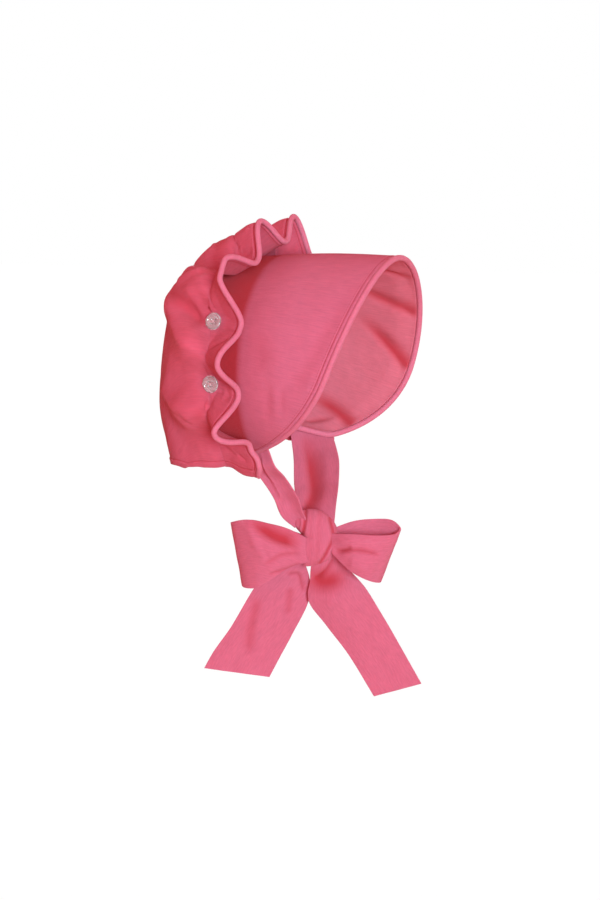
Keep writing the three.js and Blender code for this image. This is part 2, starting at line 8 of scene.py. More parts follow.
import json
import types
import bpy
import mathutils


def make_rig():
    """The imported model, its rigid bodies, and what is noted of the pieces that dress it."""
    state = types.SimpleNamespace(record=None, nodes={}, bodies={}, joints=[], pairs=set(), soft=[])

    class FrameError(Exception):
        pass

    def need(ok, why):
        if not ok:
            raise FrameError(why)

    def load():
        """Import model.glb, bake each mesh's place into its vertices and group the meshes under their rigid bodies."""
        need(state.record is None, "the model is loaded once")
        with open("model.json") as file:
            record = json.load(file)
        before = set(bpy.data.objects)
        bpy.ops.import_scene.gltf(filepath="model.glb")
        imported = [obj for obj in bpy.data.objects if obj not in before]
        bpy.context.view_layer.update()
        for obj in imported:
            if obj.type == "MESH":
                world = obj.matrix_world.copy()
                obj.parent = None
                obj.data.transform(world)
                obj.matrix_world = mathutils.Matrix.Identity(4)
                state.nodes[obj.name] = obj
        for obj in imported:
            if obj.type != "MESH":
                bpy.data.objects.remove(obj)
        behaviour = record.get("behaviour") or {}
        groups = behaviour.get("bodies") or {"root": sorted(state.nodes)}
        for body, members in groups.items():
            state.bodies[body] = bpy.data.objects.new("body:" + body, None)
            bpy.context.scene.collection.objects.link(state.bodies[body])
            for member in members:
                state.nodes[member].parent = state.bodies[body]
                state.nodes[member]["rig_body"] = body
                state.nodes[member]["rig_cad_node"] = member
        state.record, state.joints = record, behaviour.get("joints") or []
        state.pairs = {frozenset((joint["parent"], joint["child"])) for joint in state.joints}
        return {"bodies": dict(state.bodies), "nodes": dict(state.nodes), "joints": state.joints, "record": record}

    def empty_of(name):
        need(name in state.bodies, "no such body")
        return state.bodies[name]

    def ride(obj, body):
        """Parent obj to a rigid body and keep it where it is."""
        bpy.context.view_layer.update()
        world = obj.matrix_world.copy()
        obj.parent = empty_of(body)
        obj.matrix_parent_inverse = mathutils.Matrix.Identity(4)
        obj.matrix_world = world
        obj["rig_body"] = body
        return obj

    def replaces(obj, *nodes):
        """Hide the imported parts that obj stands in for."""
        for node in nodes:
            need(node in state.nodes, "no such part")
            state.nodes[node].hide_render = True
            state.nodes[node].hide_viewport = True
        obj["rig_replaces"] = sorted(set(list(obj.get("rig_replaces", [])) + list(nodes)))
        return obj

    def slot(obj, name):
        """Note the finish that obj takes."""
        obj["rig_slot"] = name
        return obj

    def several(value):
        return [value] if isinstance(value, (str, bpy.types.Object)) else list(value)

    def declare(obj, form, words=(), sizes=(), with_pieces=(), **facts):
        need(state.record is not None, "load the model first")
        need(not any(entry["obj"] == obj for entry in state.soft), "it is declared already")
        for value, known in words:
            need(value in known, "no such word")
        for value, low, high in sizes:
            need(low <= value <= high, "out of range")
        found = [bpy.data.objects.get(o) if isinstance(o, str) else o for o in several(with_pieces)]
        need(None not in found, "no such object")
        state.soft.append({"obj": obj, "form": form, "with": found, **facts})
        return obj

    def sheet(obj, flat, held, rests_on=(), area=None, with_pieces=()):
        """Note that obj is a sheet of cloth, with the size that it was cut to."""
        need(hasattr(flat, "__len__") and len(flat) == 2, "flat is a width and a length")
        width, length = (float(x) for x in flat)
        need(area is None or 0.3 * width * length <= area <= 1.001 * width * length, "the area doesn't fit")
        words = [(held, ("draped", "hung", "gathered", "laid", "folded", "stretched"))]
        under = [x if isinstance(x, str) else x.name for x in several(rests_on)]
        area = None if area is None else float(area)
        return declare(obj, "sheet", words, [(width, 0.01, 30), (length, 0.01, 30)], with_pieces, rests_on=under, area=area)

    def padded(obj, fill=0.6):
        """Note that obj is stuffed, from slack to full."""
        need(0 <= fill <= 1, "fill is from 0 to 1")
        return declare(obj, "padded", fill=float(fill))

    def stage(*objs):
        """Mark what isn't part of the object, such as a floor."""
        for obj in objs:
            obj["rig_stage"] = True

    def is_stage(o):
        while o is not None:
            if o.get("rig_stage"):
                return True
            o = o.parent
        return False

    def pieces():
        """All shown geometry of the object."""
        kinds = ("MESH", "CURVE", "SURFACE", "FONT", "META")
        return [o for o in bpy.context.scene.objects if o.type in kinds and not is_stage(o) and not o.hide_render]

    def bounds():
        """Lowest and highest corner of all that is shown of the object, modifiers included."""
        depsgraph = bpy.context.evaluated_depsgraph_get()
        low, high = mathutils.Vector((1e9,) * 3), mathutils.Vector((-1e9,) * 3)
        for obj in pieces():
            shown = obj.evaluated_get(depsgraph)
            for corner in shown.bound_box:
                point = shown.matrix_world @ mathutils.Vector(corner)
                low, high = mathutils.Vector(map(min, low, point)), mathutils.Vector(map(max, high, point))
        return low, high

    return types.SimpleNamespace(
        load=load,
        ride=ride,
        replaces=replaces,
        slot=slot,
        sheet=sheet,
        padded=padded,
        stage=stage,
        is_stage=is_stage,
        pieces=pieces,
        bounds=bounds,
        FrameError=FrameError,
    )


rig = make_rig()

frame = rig.load()
cad_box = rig.bounds()

import json
import logging
import math
from dataclasses import dataclass, field
from enum import Enum
from typing import Iterable, Sequence

import bmesh
import bpy
import numpy as np
from mathutils import Matrix, Vector, noise

log = logging.getLogger("bonnet")

Colour = tuple[float, float, float]

MM = 0.001
SIZE_FILE = "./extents.json"

# Where the photograph was taken from, in degrees; the bow faces that way
PHOTO_AZIMUTH = -65
PHOTO_ELEVATION = 7

# Cloth walls and the clearance between pieces
GAP = 0.35
CROWN_CLEARANCE = 0.9
BRIM_WALL = 1.6
LINING_WALL = 1.0
CROWN_WALL = 1.2
TIE_WALL = 1.4
BRIM_PIPING_RADIUS = 2.2
RUFFLE_PIPING_RADIUS = 2.1

# Half outlines of the brim (out, back, up), Bezier handles from the top centre to the corner
BRIM_BACK_EDGE = (
    (0, 7, 3), (43, 7, 3), (76, 7, -35), (76, 7, -78), (76, 7, -108), (62, 7, -135), (46, 7, -139),
)
BRIM_FRONT_LEFT = (
    (0, -116, 6), (40, -116, 6), (77, -109, -37), (77, -96, -80), (77, -84, -120), (62, -44, -141),
    (42, -10, -139),
)
BRIM_FRONT_RIGHT = (
    (0, -116, 6), (40, -116, 6), (77, -108, -38), (76, -90, -80), (75, -76, -112), (60, -45, -133),
    (41, -14, -141),
)
# How far the brim bulges, and how far its middle lies below its top
BRIM_BULGE = 2.5
BRIM_MIDDLE = 80

# Distance of the buttons from the brim's back edge, and of a seam from a cloth's edge
BUTTON_LINE = 7
SEAM_INSET = 2.5

# The far lower corner stands higher, from a place around and fading behind the button line
FAR_CORNER_RISE = 8
FAR_CORNER = (0.86, 1)
FAR_CORNER_FADE = (10, 70)

# The near lobe at the ruffle's lower end hangs lower, from a place around and ahead of the buttons
LOBE_DROP = 5
LOBE = (0.92, 1)
LOBE_START = (3, 20)

# Places around between which the ruffle leaves the brim's slope and runs straight forward
HANGING = (0.7, 0.9)

# The free edges of a wall are rounded by a share of its thickness, where they turn by an angle
EDGE_ROUND = 0.4
EDGE_SEGMENTS = 2
EDGE_ANGLE = math.radians(60)

# Points nearer than this are made one
WELD = 0.02


class Profile(Enum):
    """Cross section of a fold."""

    ROUND = "round"
    STEP = "step"


@dataclass(frozen=True)
class Hoop:
    """One hoop of the crown over the head, from its top to its end at the lower edge."""

    top_back: float
    top_up: float
    half_width: float
    widest: float
    end_out: float
    end_back: float
    end_up: float


CROWN_HOOPS = (
    Hoop(0, 3, 76, 0.48, 52, -2, -148),
    Hoop(17, 7, 79, 0.48, 58, 3, -149),
    Hoop(35, 1.5, 77, 0.46, 61, 8, -149),
    Hoop(49, -15, 73, 0.42, 62, 13, -149),
    Hoop(58, -46, 69, 0.36, 63, 17, -149),
    Hoop(62, -86, 67, 0.28, 63, 21, -149),
    Hoop(57, -121, 65, 0.2, 63, 24, -149),
    Hoop(50, -149, 63, 0.12, 62, 27, -149),
)


@dataclass(frozen=True)
class Wave:
    """How the ruffle stands at one place around.

    In mm, its lift off the brim at the button line, how far ahead it is held down, its depth to
    the edge and how far back its lift reaches; flare is the slope of its free part in degrees.
    """

    around: float
    lift: float
    flare: float
    hold: float
    depth: float
    reach: float
    lift_left: float | None = None


RUFFLE = (
    Wave(0, 1.1, 18, 7.5, 26, 40),
    Wave(0.104, 19, 28, 0, 22, 52, lift_left=22),
    Wave(0.205, 1.1, 20, 7.5, 26, 40),
    Wave(0.312, 17, 46, 3, 26, 52, lift_left=9),
    Wave(0.352, 16, 46, 3, 26, 56, lift_left=9),
    Wave(0.438, 1.1, 10, 7.5, 26, 60),
    Wave(0.567, 10.5, 36, 4, 26, 62),
    Wave(0.658, 1.1, 11, 7.5, 26, 60),
    Wave(0.757, 13.5, 48, 4, 26, 56),
    Wave(0.89, 3, 10, 7.5, 28, 40),
    Wave(0.955, 3, 10, 7.5, 32.5, 40),
    Wave(1, 1.6, 6, 7.5, 28, 40),
)

# Over 1, a pinch narrows the waves' crests; the main folds fade in over a start in mm
PINCH = 1.2
FOLD_START = 14


@dataclass(frozen=True)
class Fold:
    """A fold in a panel: a path of places, its rise in mm and its widths in mm.

    Seen from outside and followed from its first place, right and left are how far it spreads.
    """

    path: tuple[tuple[float, float], ...]
    rise: float
    right: float
    left: float
    profile: Profile = Profile.ROUND
    ends: tuple[float, float] = (0.3, 0.3)

    def mirrored(self) -> "Fold":
        """The same fold on the other side."""
        path = tuple((-a, b) for a, b in self.path)
        return Fold(path, self.rise, self.left, self.right, self.profile, self.ends)


# The crown's main folds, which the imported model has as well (places: around, mm behind the buttons)
CROWN_MAIN_FOLDS = (
    Fold(((-0.29, 48), (-0.571, 5)), 6.5, 7, 10),
    Fold(((-0.57, 58), (-0.813, 14)), 4, 7, 14),
    Fold(((-0.313, 44), (-0.446, 8)), -3.5, 8, 9),
    Fold(((-0.571, 5), (-0.463, -21)), -1.2, 4, 6),
    Fold(((-0.813, 14), (-0.69, 2)), -2, 5, 8),
    Fold(((-0.07, 30), (-0.15, 42)), -4.5, 14, 14),
)

# The crown's finer folds, ridges and creases, from the top wave down to the nape
CROWN_FINE_FOLDS = (
    Fold(((-0.115, 31), (-0.14, 35), (-0.2, 38), (-0.28, 38), (-0.33, 44)), 3.6, 9, 10, ends=(0.3, 0.6)),
    Fold(((-0.09, 14), (-0.10, 22)), -2.2, 10, 10, ends=(0.5, 0.4)),
    Fold(((-0.105, -18), (-0.105, -6), (-0.105, 6)), 2.6, 5, 5, ends=(0.5, 0.5)),
    Fold(((-0.30, 44), (-0.405, 32), (-0.47, 25), (-0.55, 10), (-0.575, 3)), 2.2, 2.5, 9),
    Fold(((-0.305, 40), (-0.395, 22), (-0.455, 7)), -2.4, 5, 4),
    Fold(((-0.315, 15), (-0.365, 8), (-0.405, -7)), 2.2, 3, 7),
    Fold(((-0.345, 20), (-0.395, 13), (-0.445, 7)), 1.0, 1.5, 3),
    Fold(((-0.30, 30), (-0.30, 22), (-0.295, 12)), 2.5, 3, 10),
    Fold(((-0.64, 46), (-0.725, 29), (-0.76, 18), (-0.805, 11)), 1.8, 2.5, 9),
    Fold(((-0.805, 11), (-0.75, 5.5), (-0.715, -7)), -1.2, 2.5, 3),
    Fold(((-0.57, 4), (-0.525, -12), (-0.49, -22)), -0.9, 1.8, 1.8),
    Fold(((-0.10, 19), (-0.2, 15), (-0.26, 11)), -1.2, 4, 5),
    Fold(((-0.12, 2), (-0.135, -3), (-0.17, -8)), -0.8, 1.5, 1.5),
    Fold(((-0.155, -8), (-0.165, -14), (-0.165, -19)), -1.2, 1.5, 1.5),
    Fold(((-0.18, -9), (-0.185, -17)), 0.8, 2, 2),
    Fold(((-0.30, 14), (-0.315, 11)), -1.5, 3, 3),
    Fold(((-0.42, -12), (-0.435, -23)), -0.7, 2, 2),
    Fold(((-0.455, -12), (-0.46, -24)), -0.7, 1.6, 1.6),
    Fold(((-0.40, -3), (-0.385, -14)), -0.5, 1.6, 1.6),
    Fold(((-0.645, -10), (-0.645, -20)), -0.9, 1.8, 1.8),
    Fold(((-0.66, -16), (-0.68, -20), (-0.69, -16)), -0.9, 1.5, 1.5),
    Fold(((-0.69, -6), (-0.675, -14)), -0.6, 1.6, 1.6),
    Fold(((-0.88, -14), (-0.89, -24)), -0.8, 3, 3),
    Fold(((-0.93, -16), (-0.95, -23)), -1.0, 1.5, 1.5),
    Fold(((-0.90, -4), (-0.94, -14)), -0.7, 2, 2),
)

# Folds of the brim's two cloths (places: around, and a share of the way forth)
BRIM_FOLDS = (
    Fold(((-0.285, 0.93), (-0.446, 0.90), (-0.638, 0.84)), -0.8, 6, 6, ends=(0.8, 0.8)),
    Fold(((-0.469, 0.45), (-0.515, 0.51), (-0.569, 0.56)), -0.8, 8, 8, ends=(0.8, 0.8)),
    Fold(((-0.615, 0.62), (-0.677, 0.68), (-0.746, 0.76)), -0.9, 4, 4, ends=(0.8, 0.8)),
    Fold(((-0.615, 0.74), (-0.69, 0.82)), -0.7, 3.5, 3.5, ends=(0.8, 0.8)),
)
LINING_FOLDS = (
    Fold(((-0.12, 0.80), (-0.16, 0.90), (-0.177, 1.0)), -2.0, 3, 4, ends=(0.9, 0.1)),
    Fold(((-0.27, 0.60), (-0.31, 0.80), (-0.338, 1.0)), -2.4, 7, 4, ends=(0.9, 0.1)),
    Fold(((-0.42, 0.66), (-0.48, 0.82), (-0.531, 1.0)), -2.6, 7, 4, ends=(0.9, 0.1)),
    Fold(((-0.754, 0.36), (-0.769, 0.65), (-0.80, 1.0)), -2.6, 6, 4, ends=(0.9, 0.1)),
    Fold(((-0.877, 0.49), (-0.815, 0.73)), -1.4, 2.5, 2.5, ends=(0.8, 0.8)),
)


@dataclass(frozen=True)
class Section:
    """One section across a strap: its two edges (right, up, toward the viewer) and its sag."""

    a: tuple[float, float, float]
    b: tuple[float, float, float]
    sag: float


# The bow's middle, and its directions to the right, toward the viewer and up
BOW_CENTRE = np.array((0, -54.6, -207.5))
BOW_TURN = math.radians(PHOTO_AZIMUTH)
BOW_RIGHT = np.array((math.cos(BOW_TURN), math.sin(BOW_TURN), 0))
BOW_TOWARD = np.array((math.sin(BOW_TURN), -math.cos(BOW_TURN), 0))
BOW_UP = np.array((0, 0, 1))
BOW_AXES = np.stack([BOW_RIGHT, BOW_UP, BOW_TOWARD])

TIE_LEFT = (
    Section((-23, 76, -60), (10.4, 71, -60), 0),
    Section((-20.9, 62, -50.5), (13.4, 62, -49), -1),
    Section((-20, 54, -43), (15.1, 54, -40), -2),
    Section((-19.5, 37, -27), (14.5, 37, -25), -3),
    Section((-17.5, 25, -14), (12.5, 24, -13), -2),
    Section((-11, 12, -7), (11, 10, -6), 0),
)
TIE_RIGHT = (
    Section((-53, 70, 20), (-40, 74, 31), 0),
    Section((-52, 58, 22), (-33, 59, 30), -2),
    Section((-45.6, 49.2, 18), (-26, 49.5, 22), -3),
    Section((-35, 32.6, 13), (-17, 34, 15), -4),
    Section((-28.5, 17, 8), (-13, 21, 9), -3),
    Section((-19, 8, 3), (-9, 10, 3), -2),
)
LOOP_FRONT = (
    Section((9, 4, 6), (9, -11, 6), 0),
    Section((24, 4.5, 12), (24, -24, 13), 2),
    Section((43, 3.5, 12), (37, -31, 12), 2),
    Section((57, 4, 6), (44.5, -33.5, 6), 1),
    Section((61, 7, 0), (46, -33, 0), 0),
    Section((55, 12.5, -5), (42, -30, -6), 1),
    Section((41, 12.9, -9), (32, -26, -9), 2),
    Section((26, 11.4, -8), (22, -19, -8), 1),
    Section((9, 6, -4), (9, -7, -4), 0),
)
LOOP_BACK = (
    Section((-9, 0, 6), (-9, -17, 6), 0),
    Section((-24, 9, 12), (-24, -22, 12), 3),
    Section((-39, 13, 13), (-36, -29, 13), 3),
    Section((-54, 15.5, 11), (-48, -36.5, 11), 1),
    Section((-65, 13, 4), (-57, -37.5, 4), 0),
    Section((-67, 11, -2), (-58.5, -36, -2), 0),
    Section((-59, 9, -7), (-54, -33, -7), 1),
    Section((-40, 8, -9), (-38, -27, -9), 2),
    Section((-24, 5, -8), (-24, -20, -8), 1),
    Section((-9, 0, -4), (-9, -14, -4), 0),
)
TAIL_BACK = (
    Section((-17, -8, -8), (-13, -17.5, -8), 0),
    Section((-36, -24, -14), (-8, -33, -14), 3),
    Section((-49, -40, -15), (-8.3, -50.7, -15), 3),
    Section((-68.5, -72, -11), (-21.2, -77.2, -12), 2),
    Section((-81.5, -90, -8), (-31, -95.4, -10), 1),
    Section((-88.5, -102.5, -7), (-38.6, -110, -9), 0),
)
TAIL_FRONT = (
    Section((-6, -16, -4), (9, -13, -4), 0),
    Section((-8, -34, -8), (21.2, -25, -8), 4),
    Section((-8.3, -50.7, -9), (34, -39.4, -9), 5),
    Section((5.3, -69.6, -8), (47, -60, -8), 4),
    Section((22, -91.6, -6), (61, -84, -6), 2),
    Section((41.6, -124, -4), (78, -114, -4), 0),
)

# Folds of the straps (places: a share along from the first section, and a share across)
TIE_LEFT_FOLDS = (
    Fold(((0.2, 0.33), (0.45, 0.36), (0.68, 0.42), (0.90, 0.15)), -3.4, 4, 9, ends=(0.7, 0.3)),
    Fold(((0.3, 0.72), (0.6, 0.72), (0.85, 0.6)), 1.0, 5, 5),
)
TIE_RIGHT_FOLDS = (
    Fold(((0.12, 0.65), (0.31, 0.55), (0.45, 0.46), (0.56, 0.34), (0.62, 0.28)), 3.0, 2.2, 9,
         profile=Profile.STEP),
)
FRONT_LOOP_FOLDS = (
    Fold(((0.03, 0.72), (0.075, 0.52), (0.118, 0.35)), -1.6, 1.6, 2.2),
    Fold(((0.04, 0.72), (0.10, 0.48), (0.173, 0.37), (0.273, 0.40)), -1.7, 1.8, 2.4),
    Fold(((0.12, 0.74), (0.27, 0.73)), 1.4, 5, 5),
    Fold(((0.05, 0.22), (0.2, 0.15), (0.4, 0.16)), 0.8, 3, 4),
)
BACK_LOOP_FOLDS = (
    Fold(((0.30, 0.08), (0.2, 0.24), (0.08, 0.38)), -3.8, 3.5, 8, ends=(0.8, 0.5)),
    Fold(((0.33, 0.02), (0.31, 0.3), (0.25, 0.62)), 1.4, 4, 2.4),
    Fold(((0.23, 0.90), (0.055, 0.98)), -1.4, 1.6, 1.6),
    Fold(((0.05, 0.62), (0.15, 0.60), (0.26, 0.68)), -1.0, 1.8, 2.4),
)
FRONT_TAIL_FOLDS = (
    Fold(((0.06, 0.85), (0.13, 0.5), (0.2, 0.12)), -1.8, 1.6, 2.6),
    Fold(((0.20, 0.0), (0.26, 0.35), (0.26, 0.75)), -3.4, 7, 9, ends=(0.8, 0.8)),
    Fold(((0.42, 0.3), (0.45, 0.6), (0.40, 0.9)), 1.1, 5, 6),
)
BACK_TAIL_FOLDS = (
    Fold(((0.46, 0.15), (0.6, 0.32), (0.745, 0.48)), -1.2, 4, 4),
    Fold(((0.345, 0.60), (0.49, 0.75)), -1.0, 3, 3),
    Fold(((0.23, 0.45), (0.20, 0.68), (0.33, 0.85)), -1.5, 1.6, 2.2),
)


def smoothstep(x: np.ndarray, low: float, high: float) -> np.ndarray:
    """Eased rise from 0 at low to 1 at high."""
    t = np.clip((x - low) / (high - low), 0, 1)
    return t * t * (3 - 2 * t)


def unit(vectors: np.ndarray) -> np.ndarray:
    """Vectors scaled to length 1 along the last axis."""
    return vectors / np.maximum(np.linalg.norm(vectors, axis=-1, keepdims=True), 1e-9)


def run_lengths(points: np.ndarray) -> np.ndarray:
    """Length along a row of points, 0 at the first.

    Args:
        points: Points along the second last axis.

    Returns:
        One length for each point.
    """
    steps = np.linalg.norm(np.diff(points, axis=-2), axis=-1)
    start = np.zeros(steps.shape[:-1] + (1,))
    return np.concatenate([start, np.cumsum(steps, axis=-1)], axis=-1)


def read_between(at: np.ndarray | float, places: np.ndarray, rows: np.ndarray) -> np.ndarray:
    """Points of a row, read between their places.

    Args:
        at: Where to read, in any shape.
        places: The place of each point, rising.
        rows: The points (n, 3).

    Returns:
        A point for each place that is read.
    """
    return np.stack([np.interp(at, places, rows[:, k]) for k in range(3)], axis=-1)


def square_to(vectors: np.ndarray, runs: np.ndarray) -> np.ndarray:
    """Vectors of length 1, after what runs along the given unit vectors is taken off."""
    return unit(vectors - runs * np.sum(vectors * runs, axis=-1, keepdims=True))


def past_edge(edge: np.ndarray, inner: np.ndarray, distance: float) -> np.ndarray:
    """A line past a cloth's edge, straight on from the cloth.

    Args:
        edge: Points of the edge in mm (n, 3).
        inner: A point of the cloth a little way in from each of them.
        distance: How far past the edge the line runs.

    Returns:
        The line's points.
    """
    return edge + square_to(edge - inner, unit(np.gradient(edge, axis=0))) * distance


def through(points: np.ndarray, steps: int) -> np.ndarray:
    """Centripetal curves through points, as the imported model's curves run.

    Args:
        points: Array (count, ..., 3), one curve for each index between the first and last axis.
        steps: Samples to each stretch.

    Returns:
        Array (stretches * steps + 1, ..., 3).
    """
    first = 2 * points[:1] - points[1:2]
    last = 2 * points[-1:] - points[-2:-1]
    rows = np.concatenate([first, points, last])
    gaps = np.sqrt(np.maximum(np.linalg.norm(np.diff(rows, axis=0), axis=-1, keepdims=True), 1e-8))
    t = np.linspace(0, 1, steps, endpoint=False).reshape((steps,) + (1,) * (points.ndim - 1))
    curve = []
    for i in range(len(points) - 1):
        p0, p1, p2, p3 = rows[i:i + 4]
        d0, d1, d2 = gaps[i:i + 3]
        leave = ((p1 - p0) / d0 - (p2 - p0) / (d0 + d1) + (p2 - p1) / d1) * d1
        arrive = ((p2 - p1) / d1 - (p3 - p1) / (d1 + d2) + (p3 - p2) / d2) * d1
        cube = 2 * p1 - 2 * p2 + leave + arrive
        square = -3 * p1 + 3 * p2 - 2 * leave - arrive
        curve.append(((cube * t + square) * t + leave) * t + p1)
    return np.concatenate(curve + [points[-1:]])


def grid_normals(points: np.ndarray) -> np.ndarray:
    """Unit normals of a grid of points, by the turn from its first to its second axis."""
    return unit(np.cross(np.gradient(points, axis=0), np.gradient(points, axis=1)))


class Outline:
    """Half an outline through Bezier handles, read by length from the top centre."""

    STEPS = 120

    def __init__(self, handles: Sequence[tuple[float, float, float]]) -> None:
        """Sample the outline.

        Args:
            handles: Points and handles (out, back, up), three to each stretch after the first.
        """
        rows = np.array(handles, dtype=float)
        t = np.linspace(0, 1, self.STEPS)[:, None]
        runs = []
        for i in range(0, len(rows) - 1, 3):
            a, b, c, d = rows[i:i + 4]
            runs.append(a * (1 - t) ** 3 + 3 * b * t * (1 - t) ** 2 + 3 * c * t ** 2 * (1 - t) + d * t ** 3)
        self.points = np.concatenate(runs)
        self.lengths = run_lengths(self.points)

    @property
    def length(self) -> float:
        """Whole length of the half outline, in mm."""
        return float(self.lengths[-1])

    def at(self, around: np.ndarray) -> np.ndarray:
        """Points at places around.

        Args:
            around: Any array of places, negative on the wearer's right.

        Returns:
            Points, with one more axis than the places.
        """
        place = np.clip(np.abs(around), 0, 1) * self.length
        point = read_between(place, self.lengths, self.points)
        point[..., 0] *= np.sign(around)
        return point


class BrimShape:
    """The brim's outer face; forth is 0 at its back edge and 1 at its front edge.

    Its slope is read over small steps around and forth, a little way in from its corners.
    """

    STEP_AROUND = 0.004
    STEP_FORTH = 0.02
    CORNER = 0.995

    def __init__(self) -> None:
        """Sample the three outlines."""
        self.back = Outline(BRIM_BACK_EDGE)
        self.left = Outline(BRIM_FRONT_LEFT)
        self.right = Outline(BRIM_FRONT_RIGHT)

    def front(self, around: np.ndarray) -> np.ndarray:
        """Points of the front edge at places around."""
        return np.where((around < 0)[..., None], self.right.at(around), self.left.at(around))

    def face(self, around: np.ndarray, forth: np.ndarray) -> np.ndarray:
        """Points of the outer face.

        Args:
            around: Places around.
            forth: Shares of the way from the back edge to the front edge.

        Returns:
            Points in mm.
        """
        back = self.back.at(around)
        bulge = BRIM_BULGE * np.sin(np.pi * forth) * (1 - around ** 4)
        out = unit(np.stack([back[..., 0], np.zeros_like(around), back[..., 2] + BRIM_MIDDLE], axis=-1))
        face = back + (self.front(around) - back) * forth[..., None] + out * bulge[..., None]
        face[..., 2] += FAR_CORNER_RISE * smoothstep(around, *FAR_CORNER)
        return face

    def inside(self, around: np.ndarray, forth: np.ndarray, depth: float) -> np.ndarray:
        """Points at a depth inside the outer face, in mm."""
        kept = around * self.CORNER
        held = np.clip(forth, self.STEP_FORTH, 1 - self.STEP_FORTH)
        along = self.face(kept + self.STEP_AROUND, held) - self.face(kept - self.STEP_AROUND, held)
        across = self.face(kept, held + self.STEP_FORTH) - self.face(kept, held - self.STEP_FORTH)
        return self.face(kept, forth) + unit(np.cross(along, across)) * depth


